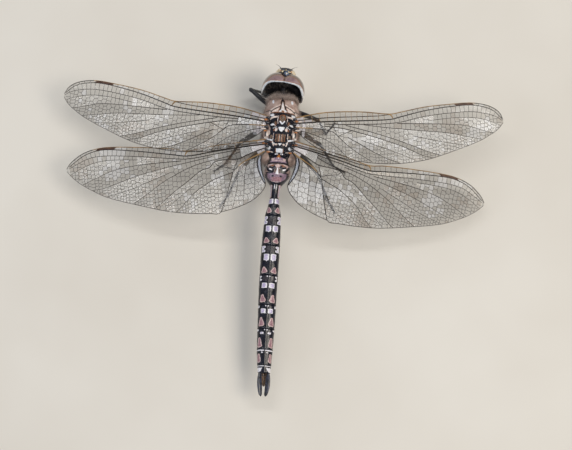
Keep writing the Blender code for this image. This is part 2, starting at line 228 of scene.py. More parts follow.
def abdomen_cuticle():
    """Sclerotised chitin, waxed and faintly wrinkled: a soft grey sheen on near-black, and
    markings that lie under the clear surface."""
    material, tree, shader, where = painted("abdomen_cuticle", 0.26, ABDOMEN_GROUND, ABDOMEN_TONES,
                                            IOR=1.5, Coat_Weight=0.1, Specular_IOR_Level=0.4)
    wrinkles = mottle(tree, where, WRINKLES, 2.0)
    tree.links.new(remap(tree, wrinkles, 0.3, 0.7, 0.2, 0.36), shader.inputs["Roughness"])
    bump(tree, shader, wrinkles, 0.012)
    return material


def thorax_cuticle():
    """Chitin under a short down: duller and browner than the abdomen."""
    material, tree, shader, where = painted("thorax_cuticle", 0.5, THORAX_GROUND, THORAX_TONES,
                                            IOR=1.5, Specular_IOR_Level=0.3)
    pits = add(tree, "TexVoronoi", {"Vector": where, "Scale": 1 / PITS}).outputs["Distance"]
    bump(tree, shader, pits, 0.015)
    return material


def shell(name, one, two, roughness, size=0.4, coat=0.0):
    """Plain chitin in two close tones, with a fine grain."""
    material, tree, shader, where = painted(name, roughness, (size, one, two), IOR=1.56, Coat_Weight=coat)
    grain = mottle(tree, where, GRAIN, 2.0)
    tree.links.new(remap(tree, grain, 0.3, 0.7, roughness * 0.8, roughness * 1.25),
                   shader.inputs["Roughness"])
    bump(tree, shader, grain, 0.01)
    return material


def eye_lens():
    """A compound eye: thousands of clear corneal lenses over brown pigment, so a wet gloss."""
    material, tree, shader, where = painted("eye_lens", 0.16, EYE_GROUND, EYE_TONES, 0.06, 0.03,
                                            IOR=1.5, Coat_Weight=1.0, Coat_Roughness=0.06)
    lenses = add(tree, "TexVoronoi", {"Vector": where, "Scale": 1 / LENSES}).outputs["Distance"]
    bump(tree, shader, remap(tree, lenses, 0.0, 0.7, 1.0, 0.0), 0.008)
    return material


def face_cuticle():
    """Pale cream chitin with a blue-grey and black mark over the brow."""
    material, tree, shader, where = painted("face_cuticle", 0.35, FACE_GROUND, FACE_TONES,
                                            IOR=1.5, Coat_Weight=0.2)
    bump(tree, shader, mottle(tree, where, WRINKLES, 2.0), 0.015)
    return material


def wing_film(name, code, alpha, roughness, ripple=0.006):
    """Clear dry chitin film a few thousandths of a millimetre thick: light passes, and the
    surface gives a glassy, faintly rainbow glint. Drawn thicker than life."""
    material, tree, shader, where = new_material(
        name, roughness, Base_Color=linear(code), IOR=1.56, Alpha=alpha, Specular_IOR_Level=0.6,
        Coat_Weight=0.5, Coat_Roughness=0.1)
    material.surface_render_method = "BLENDED"
    bump(tree, shader, mottle(tree, where, 0.5, 1.0), ripple)
    return material


# ---------------------------------------------------------------- pieces
def deselect():
    for thing in bpy.context.selected_objects:
        thing.select_set(False)


def activate(thing):
    """Selects one piece alone and makes it the active one."""
    deselect()
    thing.select_set(True)
    bpy.context.view_layer.objects.active = thing


def settled():
    """The piece just added, with its place put into its mesh."""
    bpy.ops.object.transform_apply(location=True, rotation=True, scale=True)
    return bpy.context.object


def joined(pieces):
    """Joins pieces into the last of them."""
    activate(pieces[-1])
    for piece in pieces:
        piece.select_set(True)
    bpy.ops.object.join()
    return pieces[-1]


def ball(at, size, segments, rings, turn=(0, 0, 0)):
    """An oval lump, added at its size and place in metres."""
    deselect()
    bpy.ops.mesh.primitive_uv_sphere_add(segments=segments, ring_count=rings, radius=1.0,
                                         location=at, rotation=turn, scale=size)
    return settled()


def stands_for(thing, name, material, slot, *nodes):
    """Names a finished piece, gives it its material, hangs it on the root and hides the frame's parts that it
    stands for.
    """
    thing.name = thing.data.name = name
    thing.data.materials.clear()
    thing.data.materials.append(material)
    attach(thing, "root")
    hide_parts(*nodes)
    return thing


def from_faces(name, verts, faces, sharp=50):
    mesh = bpy.data.meshes.new(name)
    mesh.from_pydata(verts, [], faces)
    mesh.shade_smooth()
    mesh.set_sharp_from_angle(angle=math.radians(sharp))
    thing = bpy.data.objects.new(name, mesh)
    bpy.context.scene.collection.objects.link(thing)
    return thing


class Strand:
    """Gathers closed rods and panes into one mesh, with their faces outwards."""

    def __init__(self):
        self.verts, self.faces = [], []

    def rod(self, points, radii, sides, up):
        """A closed tube through points, with its radii in metres."""
        first = len(self.verts)
        for i, point in enumerate(points):
            way = (points[min(i + 1, len(points) - 1)] - points[max(i - 1, 0)]).normalized()
            across = way.cross(up).normalized()
            over = way.cross(across)
            for k in range(sides):
                angle = 2 * math.pi * (k + 0.5) / sides
                self.verts.append(point + (across * math.cos(angle) + over * math.sin(angle)) * radii[i])
        for row in range(first, first + (len(points) - 1) * sides, sides):
            for k in range(sides):
                n = (k + 1) % sides
                self.faces.append((row + k, row + n, row + sides + n, row + sides + k))
        last = first + (len(points) - 1) * sides
        self.faces.append(tuple(first + k for k in reversed(range(sides))))
        self.faces.append(tuple(last + k for k in range(sides)))

    def pane(self, outline, centre, up, rise):
        """A pane of membrane: two low domes with a rim."""
        count, first = len(outline), len(self.verts)
        spokes = [point - centre for point in outline]
        if sum((spokes[k - 1].cross(spokes[k]) for k in range(count)), Vector()).dot(up) < 0:
            outline = outline[::-1]
        rim = [centre + (point - centre) * 0.985 for point in outline]
        for half in (up * FILM / 2 * MM, -up * FILM / 2 * MM):
            self.verts += [point + half for point in rim] + [centre + half + up * rise * MM]
        low = first + count + 1
        for k in range(count):
            n = (k + 1) % count
            self.faces.append((first + k, first + n, first + count))
            self.faces.append((low + n, low + k, low + count))
            self.faces.append((low + k, low + n, first + n, first + k))

    def piece(self, name, material, slot, node):
        return stands_for(from_faces(name, self.verts, self.faces), name, material, slot, node)


# ---------------------------------------------------------------- wings: the plan
# each wing in its own flat frame: s from the base to the tip, c rearwards of the base-tip line
FORE_FRONT = ((0, -0.2), (4.7, -1.15), (8.5, -1.45), (13.0, -1.45), (18.2, -1.1), (20.2, -1.5),
              (25.0, -2.6), (30.5, -3.3), (34.0, -3.56), (36.8, -3.2), (38.5, -2.5), (39.6, -1.5),
              (40.1, -0.3))
FORE_BACK = ((0, 2.4), (1.7, 4.1), (4.4, 6.0), (7.0, 7.2), (11.5, 8.3), (18.0, 8.8), (24.6, 8.0),
             (31.0, 5.85), (35.4, 4.0), (37.6, 2.7), (39.2, 1.5), (40.1, 0.3))
HIND_FRONT = ((0, -0.4), (5.0, -0.5), (10.0, -0.55), (15.2, -0.3), (17.9, -1.1), (25.0, -2.5),
              (30.8, -3.35), (33.5, -3.25), (35.6, -2.7), (37.2, -1.8), (38.2, -1.0), (38.8, -0.2))
HIND_BACK = ((9.9, 12.7), (12.0, 12.7), (19.0, 11.4), (25.0, 9.3), (31.5, 6.6), (34.6, 4.6),
             (36.6, 3.0), (38.0, 1.5), (38.8, 0.3))
# the hindwing's inner margin and the vein that bounds its rear field, both as (c, s)
INNER_MARGIN = ((1.9, 0.1), (2.7, 0.95), (3.6, 1.25), (5.2, 1.3), (6.8, 1.15), (8.4, 0.9),
                (9.5, 1.45), (10.5, 2.6), (11.4, 4.1), (12.4, 7.6), (12.7, 9.9))
FIELD_VEIN = ((1.9, 0.3), (2.25, 1.1), (2.8, 2.8), (3.5, 4.7), (4.4, 5.95), (5.0, 6.7), (6.5, 7.3),
              (9.5, 8.5), (12.7, 9.95))

# veins: name, height above the wing's middle, thickness at each end, points (s, c)
FORE_VEINS = (
    ("costa", 0.02, (0.22, 0.14), FORE_FRONT),
    ("subcosta", -0.16, (0.2, 0.14), ((0, 0.35), (6, -0.3), (12, -0.55), (16, -0.75), (18.2, -1.05))),
    ("radius", 0.15, (0.3, 0.12), ((0, 0.95), (6, 0.55), (12, 0.35), (18.2, 0.0), (20.2, -0.55),
     (25, -1.85), (30.5, -2.82), (34, -3.1), (36.8, -2.7), (38.5, -1.9), (39.9, -0.5))),
    ("first fork", -0.02, (0.17, 0.09), ((5.4, 1.0), (10, 1.05), (15, 0.95), (18.2, 0.75), (20.5, 0.4),
     (25, -0.75), (30.5, -1.55), (34.3, -1.8), (37, -1.45), (39, -0.8), (40, -0.1))),
    ("between first", 0.09, (0.1, 0.08), ((26.5, 0.0), (31, -0.55), (35, -0.55), (38, 0.2), (39.7, 0.95))),
    ("second fork", -0.1, (0.15, 0.08), ((19.5, 0.75), (24, 0.75), (29, 0.75), (33, 1.0), (36.5, 2.0),
     (38.2, 2.4))),
    ("between second", 0.1, (0.13, 0.08), ((13, 1.15), (18, 1.7), (24, 2.15), (29, 2.5), (33, 3.2),
     (35.9, 3.72))),
    ("radial plank", 0.02, (0.1, 0.07), ((22.5, 3.2), (26, 3.9), (30, 4.6), (33.3, 4.88))),
    ("third fork", -0.1, (0.15, 0.09), ((9.5, 1.2), (14, 2.4), (18, 3.6), (22, 5.0), (25, 6.2),
     (27.9, 7.02))),
    ("media", 0.1, (0.18, 0.1), ((5.6, 1.5), (9, 1.9), (13, 2.95), (17, 4.15), (21, 5.6), (24, 7.0),
     (26.2, 7.55))),
    ("median plank", 0.02, (0.1, 0.07), ((12.5, 4.2), (16, 5.4), (20, 6.9), (23, 8.15))),
    ("rear media", -0.1, (0.16, 0.1), ((9.9, 3.6), (12, 4.8), (14.5, 6.3), (17, 7.6), (19.8, 8.62))),
    ("cubitus", 0.1, (0.2, 0.1), ((0, 1.75), (4, 2.0), (7, 2.6), (8.2, 3.7), (10, 5.4), (12, 6.9),
     (14.5, 8.5))),
    ("anal", -0.05, (0.16, 0.09), ((0, 2.15), (3, 3.0), (6, 4.3), (8, 5.8), (10, 7.9))),
    ("rear margin", 0.0, (0.14, 0.09), FORE_BACK),
)
HIND_VEINS = (
    ("costa", 0.02, (0.22, 0.14), HIND_FRONT),
    ("subcosta", -0.16, (0.2, 0.14), ((0, 0.05), (5, 0.0), (10, 0.0), (13, 0.02), (15.2, -0.2))),
    ("radius", 0.15, (0.3, 0.12), ((0, 0.55), (5, 0.5), (10, 0.6), (15.2, 0.75), (17.9, 0.1), (25, -1.7),
     (30.8, -2.87), (33.5, -2.8), (35.6, -2.15), (37.2, -1.2), (38.3, -0.5))),
    ("first fork", -0.02, (0.17, 0.09), ((5, 0.85), (10, 1.1), (15.2, 1.3), (18, 0.85), (25, -0.65),
     (30.8, -1.65), (34, -1.7), (36.3, -1.0), (38.4, -0.15))),
    ("between first", 0.09, (0.1, 0.08), ((25, 0.05), (30.8, -0.7), (34, -0.45), (37, 0.6), (38.2, 1.2))),
    ("second fork", -0.1, (0.15, 0.08), ((16.5, 1.5), (21, 1.25), (26, 1.15), (30, 1.5), (33.5, 2.6),
     (36, 3.45))),
    ("between second", 0.1, (0.13, 0.08), ((10.5, 1.55), (15, 2.0), (20, 2.5), (25, 3.2), (29, 4.1),
     (32, 4.8), (34.2, 4.82))),
    ("radial plank", 0.02, (0.1, 0.07), ((19, 3.6), (23, 4.7), (27, 5.8), (31.6, 6.5))),
    ("third fork", -0.1, (0.15, 0.09), ((4.95, 1.3), (7, 1.8), (8.7, 2.05), (10.2, 2.2), (12, 2.4),
     (14.1, 2.8), (16.4, 3.5), (20.4, 5.2), (24, 7.3), (26.5, 8.65))),
    ("media", 0.1, (0.22, 0.1), ((0, 1.25), (2, 1.7), (4.1, 2.3), (5.5, 2.72), (8.7, 2.5), (10.2, 2.7),
     (11.1, 3.6), (12.7, 3.95), (13.9, 4.6), (15.7, 5.8), (18.2, 7.3), (21.5, 9.6), (22.6, 10.2))),
    ("median plank", 0.02, (0.1, 0.07), ((14.5, 6.7), (17, 8.3), (19.5, 10.0), (20.8, 10.85))),
    ("rear media", -0.1, (0.16, 0.1), ((6.85, 5.15), (8.7, 5.6), (10.9, 6.2), (13.5, 7.5), (14.9, 8.4),
     (17.0, 10.3), (18.6, 11.5))),
    ("rear margin", 0.0, (0.14, 0.09), ((0, 1.8), (1.1, 2.25), (2.8, 2.8), (4.7, 3.5), (5.95, 4.4),
     (6.7, 5.0), (7.3, 6.5), (8.5, 9.5), (9.9, 12.65)) + HIND_BACK[1:]),
)
# the hindwing's rear field, with its long direction rearwards: points (c, s)
FIELD_VEINS = (
    ("inner margin", 0.0, (0.3, 0.1), INNER_MARGIN),
    ("membranule edge", 0.0, (0.34, 0.16), ((2.7, 1.5), (3.6, 1.95), (5.2, 1.95), (6.8, 1.6), (8.3, 1.0))),
    ("inner anal", -0.04, (0.12, 0.08), ((2.95, 2.4), (5.0, 2.75), (8.0, 2.9), (10.9, 3.4))),
    ("second anal", 0.04, (0.13, 0.08), ((3.05, 3.2), (4.5, 4.2), (6.5, 4.7), (9.0, 5.1), (11.85, 5.6))),
    ("first anal", -0.04, (0.12, 0.08), ((5.2, 6.1), (7.5, 6.2), (10, 6.9), (12.4, 7.7))),
    ("cubitus", 0.1, (0.22, 0.1), FIELD_VEIN),
)
SAMPLE = 0.1                   # between the places where a vein is sampled
FRONT_CELL, FIRST_CELL = 1.05, 1.5    # along the front edge, and nearest the base there
CELL_LEAN, CELL_DRIFT = 0.22, 0.1     # stagger and stray of cells, as shares of their size
LAST_CELL = 1.45               # a rest shorter than this share of a cell is one cell
CELL_REACH = 1.7               # how far from its middle a cell may reach, in its size
EDGE_STEP = 0.3                # between the points of a cell along a curved vein
LEAST_AREA = 0.004             # of a cell, in mm squared
NODUS = {"fore": 18.2, "hind": 15.2}
STIGMA = {"fore": (30.8, 34.4), "hind": (29.0, 32.7)}
GOLDEN = ("costa", "subcosta", "radius")
GOLDEN_UNTIL = {"costa": 0.86, "cubitus": 0.22}    # as shares of those veins' lengths
# heavy cross-braces: the arculus and the triangle, as (s, c) lines
BRACES = {
    "fore": (((5.4, 0.6), (5.5, 1.5), (5.6, 2.25)), ((7.3, 1.7), (7.9, 3.45)), ((7.9, 3.45), (10.7, 2.3))),
    "hind": (((4.9, 0.5), (5.0, 1.3), (4.95, 2.5)), ((5.6, 2.72), (6.65, 4.75)),
             ((6.65, 4.7), (8.0, 4.06), (9.6, 3.47), (10.2, 2.7))),
}


class Vein:
    """One long vein of a plan, sampled so that it can be read quickly at any place."""

    def __init__(self, name, height, thick, points):
        self.name, self.height, self.thick = name, height, thick
        self.first, self.last = points[0][0], points[-1][0]
        self.places = np.arange(self.first, self.last + SAMPLE / 2, SAMPLE)
        self.across = np.array([between(points, place_) for place_ in self.places])

    def at(self, place_):
        return float(np.interp(place_, self.places, self.across))


def strips(veins, cuts=()):
    """The stretches over which two veins stay neighbours, as (upper, lower, start, end)."""
    waiting, found = {}, []
    last = max(vein.last for vein in veins)
    for at in np.arange(min(vein.first for vein in veins), last, SAMPLE):
        here = sorted((v for v in veins if v.first <= at <= v.last), key=lambda v: v.at(at))
        pairs = list(zip(here, here[1:]))
        for pair in [pair for pair in waiting if pair not in pairs]:
            found.append((*pair, waiting.pop(pair), at))
        for pair in pairs:
            waiting.setdefault(pair, at)
    found += [(*pair, start, last) for pair, start in waiting.items()]
    for cut in cuts:
        whole = next(s for s in found if s[0].name == "costa" and s[2] < cut < s[3])
        found.remove(whole)
        found += [(*whole[:3], cut), (*whole[:2], cut, whole[3])]
    return [strip for strip in found if strip[3] - strip[2] > SAMPLE * 1.5]


def clip(outline, tags, middle, away, tag):
    """Cuts off the part of an outline that lies past a point in direction `away`. Each edge
    keeps its tag, and the new edge gets the one given."""
    depth = [(p[0] - middle[0]) * away[0] + (p[1] - middle[1]) * away[1] for p in outline]
    kept, kept_tags = [], []
    for i, point in enumerate(outline):
        n = (i + 1) % len(outline)
        inside, next_inside = depth[i] <= 0, depth[n] <= 0
        if inside:
            kept.append(point)
            kept_tags.append(tags[i])
        if inside != next_inside:
            t = depth[i] / (depth[i] - depth[n])
            kept.append((point[0] + (outline[n][0] - point[0]) * t,
                         point[1] + (outline[n][1] - point[1]) * t))
            kept_tags.append(tag if inside else tags[i])
    return kept, kept_tags


def area_of(outline):
    return abs(sum(p[0] * q[1] - q[0] * p[1] for p, q in zip(outline, outline[1:] + outline[:1]))) / 2


def cells_of(strip, size_at, chance):
    """Fills a strip with cells: one row of near-rectangles where it is narrow and staggered
    rows where it is wide. Gives the outlines, and the walls between them."""
    upper, lower, start, end = strip
    seeds, at, column = [], start, 0
    while at < end - 0.01:
        size = size_at(strip, at, (upper.at(at) + lower.at(at)) / 2)
        wide = end - at if end - at < size * LAST_CELL else size
        middle = at + wide / 2
        top, deep = upper.at(middle), lower.at(middle) - upper.at(middle)
        rows = max(1, round(deep / size * 0.95))
        lean = (CELL_LEAN if column % 2 else -CELL_LEAN) if rows > 1 else 0.0
        for row in range(rows):
            drift = [chance.uniform(-CELL_DRIFT, CELL_DRIFT) for _ in range(2)]
            drift[1] *= rows > 1
            seeds.append((column, middle + drift[0] * wide,
                          top + deep * (row + 0.5 + lean + drift[1]) / rows, size))
        at += wide
        column += 1
    cells, walls = [], []
    for i, (column, a, b, size) in enumerate(seeds):
        left, right = max(start, a - CELL_REACH * size), min(end, a + CELL_REACH * size)
        steps = max(3, round((right - left) / EDGE_STEP))
        along = [left + (right - left) * k / steps for k in range(steps + 1)]
        outline = [(p, upper.at(p)) for p in along] + [(p, lower.at(p)) for p in reversed(along)]
        tags = [-1] * len(outline)
        for j, (other_column, c, d, _) in enumerate(seeds):
            if j != i and abs(other_column - column) < 3 and outline:
                outline, tags = clip(outline, tags, ((a + c) / 2, (b + d) / 2), (c - a, d - b), j)
        if len(outline) < 3 or area_of(outline) < LEAST_AREA:
            continue
        cells.append(outline)
        for k, tag in enumerate(tags):
            if tag > i:
                walls.append((outline[k], outline[(k + 1) % len(outline)]))
    return cells, walls


def open_size(from_back, growth):
    """The open cells grow from the rear edge forwards."""
    return min(max(0.5 + growth * from_back, 0.52), 0.85)


def fore_sizes(strip, at, across):
    if strip[0].name == "costa" or strip[1].name == "radius":
        return FRONT_CELL if at > 6 else FIRST_CELL
    return open_size(between(FORE_BACK, at) - across, 0.07)


def hind_sizes(strip, at, across):
    if strip[0].name == "costa" or strip[1].name == "radius":
        return FRONT_CELL if at > 5 else FIRST_CELL
    if strip[1].name == "media" and at < 5:
        return 3.2
    return open_size(between(HIND_BACK, max(at, HIND_BACK[0][0])) - across, 0.06)


def field_sizes(strip, at, across):
    if strip[1].name == "membranule edge":
        return 3.0
    return 0.95 if at < 10 else 0.7


def plan_of(kind):
    """A wing's plan: for each of its strips, its veins, cells and walls, with a flag for the
    rear field, whose places are (c, s)."""
    chance = random.Random(kind)
    if kind == "fore":
        sheets = [(FORE_VEINS, fore_sizes, False)]
    else:
        sheets = [(HIND_VEINS, hind_sizes, False), (FIELD_VEINS, field_sizes, True)]
    veins, filled = [], []
    for rows, size_at, turned in sheets:
        lines = [Vein(*row) for row in rows]
        veins += [(line, turned) for line in lines]
        for strip in strips(lines, () if turned else STIGMA[kind]):
            cells, walls = cells_of(strip, size_at, chance)
            filled.append((strip, turned, cells, walls))
    return veins, filled


# ---------------------------------------------------------------- wings: the pieces
# name, side, root (x, f, z), length, droop and sweep in degrees
WINGS = (
    ("forewing_left", 1, (2.8, 1.55, 13.0), 40.1, 6.5, 4.8),
    ("forewing_right", -1, (2.8, 1.55, 13.0), 40.1, 2.5, 4.5),
    ("hindwing_left", 1, (2.8, -3.0, 11.8), 38.8, 6.5, -10.2),
    ("hindwing_right", -1, (2.8, -3.0, 11.8), 38.8, 10.0, -11.2),
)
# the joint's small plates: place (s, c, height), radii and colour
HINGES = {
    "fore": ((-0.3, 0.1, -0.1, (0.5, 0.3, 0.3), "black"), (0.1, 0.55, 0.1, (0.34, 0.2, 0.2), "rust"),
             (0.8, 0.62, 0.02, (0.42, 0.17, 0.12), "cream"), (-0.25, 1.1, -0.05, (0.5, 0.32, 0.28), "black"),
             (0.5, 1.6, 0.02, (0.36, 0.2, 0.14), "cream"), (-0.2, 1.95, -0.05, (0.45, 0.26, 0.25), "black"),
             (0.3, 2.35, 0.02, (0.5, 0.15, 0.13), "cream"), (-0.1, 2.7, -0.1, (0.4, 0.14, 0.14), "rust"),
             (-0.5, 3.3, -0.35, (0.22, 0.5, 0.14), "cream"), (-0.2, 3.2, -0.5, (0.2, 0.5, 0.16), "black")),
    "hind": ((-0.1, -0.75, 0.1, (0.28, 0.22, 0.2), "cream"), (-0.3, 0.0, -0.05, (0.5, 0.34, 0.3), "black"),
             (0.35, 0.35, 0.06, (0.34, 0.18, 0.18), "rust"), (1.0, 0.75, 0.0, (0.5, 0.15, 0.12), "cream"),
             (-0.2, 0.9, -0.02, (0.5, 0.3, 0.28), "black"), (1.0, 1.25, 0.0, (0.5, 0.13, 0.11), "cream"),
             (0.0, 1.6, 0.0, (0.36, 0.22, 0.2), "black"), (-0.3, 2.1, -0.1, (0.36, 0.16, 0.16), "rust"))
}
WING_BEND = 0.0007             # extra droop, mm per mm squared of length
CROSS_VEIN = 0.085             # drawn about twice as thick as life, so that the net shows
FILM = 0.03                    # the membrane is drawn this thick, about eight times life
DOME = 0.022                   # how far a cell of membrane bulges
GOLD_THICKER = 1.25            # the golden cross veins against the dark ones
SHORTEST_WALL = 0.02           # a wall shorter than this gets no vein
VEIN_STEP = 0.45               # between the points along a long vein
TINT_AND_GLINT_AT = 0.4                   # past this a cell gets the whitish film that paints a glint, and below minus this the amber film, on a scale of about -1 to 1
BASE_ENDS = 1.8                # how far out the pale film reaches that paints a glint on the cells of the base


class Wing:
    """Maps a plan's places onto one wing of the animal."""

    def __init__(self, side, root, length, droop, sweep):
        self.side, self.root, self.length = side, root, length
        self.droop, self.sweep = math.radians(droop), math.radians(sweep)
        self.up = Vector((side * math.sin(self.droop), 0, math.cos(self.droop)))

    def at(self, s, c, height):
        out = s * math.cos(self.sweep) + c * math.sin(self.sweep)
        forward = s * math.sin(self.sweep) - c * math.cos(self.sweep)
        fall = out * math.sin(self.droop) + WING_BEND * out * out
        x = self.side * (self.root[0] + out * math.cos(self.droop))
        flat = 1.0 - 0.5 * s / self.length
        return place(x, self.root[1] + forward, self.root[2] - fall) + self.up * height * flat * MM

    def in_strip(self, strip, turned, point):
        """A place inside a strip, at the height that its two veins give it."""
        upper, lower = strip[:2]
        top, low = upper.at(point[0]), lower.at(point[0])
        share = min(max((point[1] - top) / max(low - top, 1e-3), 0.0), 1.0)
        height = upper.height + (lower.height - upper.height) * share
        s, c = (point[1], point[0]) if turned else point
        return self.at(s, c, height)


def face_up(thing):
    """Turns a mesh's faces outwards."""
    bm = bmesh.new()
    bm.from_mesh(thing.data)
    bmesh.ops.recalc_face_normals(bm, faces=bm.faces[:])
    if bm.calc_volume(signed=True) < 0:
        bmesh.ops.reverse_faces(bm, faces=bm.faces[:])
    bm.to_mesh(thing.data)
    bm.free()


def fill_cells(wing, kind, filled, chance, dark, golden, films):
    """Cross veins along the walls of the cells, and a pane of film in each cell."""
    for strip, turned, cells, walls in filled:
        upper, lower, start, end = strip[0].name, strip[1].name, strip[2], strip[3]
        if upper == "costa" and STIGMA[kind][0] <= start + 0.05 and end - 0.05 <= STIGMA[kind][1]:
            continue
        gold = lower in GOLDEN and end <= NODUS[kind] + 0.6
        front_row = upper == "costa" and start >= NODUS[kind] - 0.1
        radius = CROSS_VEIN * (GOLD_THICKER if gold else 1.0) / 2 * MM
        for wall in walls:
            one, two = (wing.in_strip(strip, turned, point) for point in wall)
            if (two - one).length < SHORTEST_WALL * MM:
                continue
            reach = (two - one).normalized() * 0.015 * MM
            (golden if gold else dark).rod([one - reach, two + reach], (radius, radius), 4, wing.up)
        for cell in cells:
            outline = [wing.in_strip(strip, turned, point) for point in cell]
            centre = sum(outline, Vector()) / len(outline)
            out = cell[0][1] if turned else cell[0][0]
            # a noise picks each cell's film: the whitish film is a painted glint and the amber film a colour
            # of the wing; cells of the front row past the nodus get more painted glints
            tint_and_glint = noise.noise(centre / MM / 5.0) * 1.1 + chance.uniform(-0.3, 0.3) + 0.3 * front_row
            look = "milky" if tint_and_glint > TINT_AND_GLINT_AT else "amber" if tint_and_glint < -TINT_AND_GLINT_AT else "clear"
            # most cells next to the base get a pale film: a painted glint
            if out < BASE_ENDS and not turned and chance.random() < 0.75:
                look = "base"
            if lower == "membranule edge":
                look = "membranule"
            films[look].pane(outline, centre, wing.up, chance.uniform(-DOME, DOME))


def lay_veins(wing, kind, veins, dark, golden):
    """The long veins, golden near the base in some, and the braces between them."""
    for vein, turned in veins:
        points, radii = [], []
        count = max(2, round((vein.last - vein.first) / VEIN_STEP))
        for k in range(count + 1):
            at = vein.first + (vein.last - vein.first) * k / count
            s, c = (vein.at(at), at) if turned else (at, vein.at(at))
            points.append(wing.at(s, c, vein.height))
            radii.append((vein.thick[0] + (vein.thick[1] - vein.thick[0]) * k / count) / 2 * MM)
        change = 0
        if vein.name in GOLDEN_UNTIL:
            change = round(GOLDEN_UNTIL[vein.name] * count)
            golden.rod(points[:change + 1], radii[:change + 1], 6, wing.up)
        dark.rod(points[change:], radii[change:], 6, wing.up)
    for brace in BRACES[kind]:
        points = [wing.at(s, c, 0.02) for s, c in brace]
        dark.rod(points, [0.07 * MM] * len(points), 6, wing.up)


def make_wing(name, plan, side, root, length, droop, sweep, looks):
    veins, filled = plan
    kind = name[:4]
    wing = Wing(side, root, length, droop, sweep)
    dark, golden = Strand(), Strand()
    films = {look: Strand() for look in ("clear", "milky", "amber", "base", "membranule")}
    fill_cells(wing, kind, filled, random.Random(name), dark, golden, films)
    lay_veins(wing, kind, veins, dark, golden)
    pieces = [("veins", dark, "vein"), ("costa", golden, "gold")]
    pieces += [("film_" + look, film, look) for look, film in films.items() if film.faces]
    for part, strand, look in pieces:
        strand.piece(f"{name}_{part}", looks[look], "wing_membrane", name)
    make_stigma(name, veins, wing, kind, looks)
    make_hinge(name, wing, kind, looks)


def make_stigma(name, veins, wing, kind, looks):
    """The stigma, a thick dark cell at the front edge, and the pale kinked nodus."""
    costa, radius = (next(v for v, _ in veins if v.name == word) for word in ("costa", "radius"))
    start, end = STIGMA[kind]
    cell, steps = Strand(), 8
    for row in range(3):
        share = (row + 0.75) / 3.5
        points = []
        for k in range(steps + 1):
            at = start + (end - start) * k / steps + (share - 0.5) * 0.5
            c = costa.at(at) + (radius.at(at) - costa.at(at)) * share
            points.append(wing.at(at, c, 0.08))
        cell.rod(points, [0.1 * MM * (0.6 if k in (0, steps) else 1.0) for k in range(steps + 1)], 8, wing.up)
    cell.piece(name + "_stigma", looks["stigma"], "wing_membrane", name)
    knot, at = Strand(), NODUS[kind]
    line = [wing.at(at - 0.5, costa.at(at - 0.5), 0.03), wing.at(at, costa.at(at) + 0.12, 0.05),
            wing.at(at + 0.35, costa.at(at) + 0.6, 0.05), wing.at(at + 0.5, radius.at(at + 0.5), 0.1)]
    knot.rod(line, [0.1 * MM, 0.17 * MM, 0.11 * MM, 0.07 * MM], 8, wing.up)
    knot.piece(name + "_nodus", looks["nodus"], "wing_membrane", name)


def make_hinge(name, wing, kind, looks):
    """The small plates of the wing's joint, between its veins and the thorax."""
    for tone in ("black", "rust", "cream"):
        lumps = [ball(wing.at(s, c, height), [radius * MM for radius in radii], 20, 12)
                 for s, c, height, radii, colour in HINGES[kind] if colour == tone]
        thing = joined(lumps)
        smooth(thing)
        stands_for(thing, f"{name}_hinge_{tone}", looks["hinge_" + tone], "wing_membrane", name)


def make_wings():
    looks = {
        "vein": shell("vein_chitin", "#120E0C", "#2A1F18", 0.4, 1.5),
        "gold": shell("golden_vein", "#6A5030", "#A88654", 0.36, 2.0),
        "nodus": shell("nodus_chitin", "#6E5430", "#B08E5A", 0.4, 3.0),
        "stigma": shell("stigma_chitin", "#3A2319", "#5C3E2C", 0.35, 0.8),
        "clear": wing_film("clear_film", "#5E5850", 0.13, 0.14),
        # whitish film on some cells: a painted glint
        "milky": wing_film("milky_film", "#C8CAD0", 0.17, 0.2),
        "amber": wing_film("amber_film", "#6A5236", 0.2, 0.16),
        "hinge_black": shell("hinge_chitin", "#0D0E16", "#22242F", 0.3, 0.4, 0.2),
        "hinge_rust": shell("rusty_hinge_chitin", "#8A4C22", "#C07A3A", 0.34, 0.3, 0.2),
        "hinge_cream": shell("pale_hinge_chitin", "#CDBBAE", "#EDE6E0", 0.4, 0.3),
        # pale film on the cells of the base: a painted glint
        "base": wing_film("base_film", "#C6C0C4", 0.42, 0.4, 0.002),
        "membranule": wing_film("membranule_film", "#465068", 0.85, 0.4, 0.002),
    }
    plans = {kind: plan_of(kind) for kind in ("fore", "hind")}
    for name, *values in WINGS:
        make_wing(name, plans[name[:4]], *values, looks)


# ---------------------------------------------------------------- shaping by hand
def pick_edges(thing, wanted):
    """In edit mode, selects just the edges that are wanted."""
    bpy.ops.mesh.select_mode(type="EDGE")
    bpy.ops.mesh.select_all(action="DESELECT")
    bm = bmesh.from_edit_mesh(thing.data)
    for edge in bm.edges:
        if wanted(edge):
            edge.select_set(True)
    bmesh.update_edit_mesh(thing.data)


def ringed_tube(start, end, radius, sides, rings):
    """A closed tube between two places: a cylinder whose long edges are cut into rings."""
    deselect()
    way = end - start
    bpy.ops.mesh.primitive_cylinder_add(vertices=sides, radius=radius * MM, depth=way.length,
                                        end_fill_type="TRIFAN", location=(start + end) / 2,
                                        rotation=way.to_track_quat("Z", "Y").to_euler())
    thing = bpy.context.object
    bpy.ops.object.mode_set(mode="EDIT")
    pick_edges(thing, lambda edge: abs(edge.verts[0].co.z - edge.verts[1].co.z) > way.length * 0.9)
    bpy.ops.mesh.subdivide(number_cuts=rings - 1)
    bpy.ops.object.mode_set(mode="OBJECT")
    return settled()


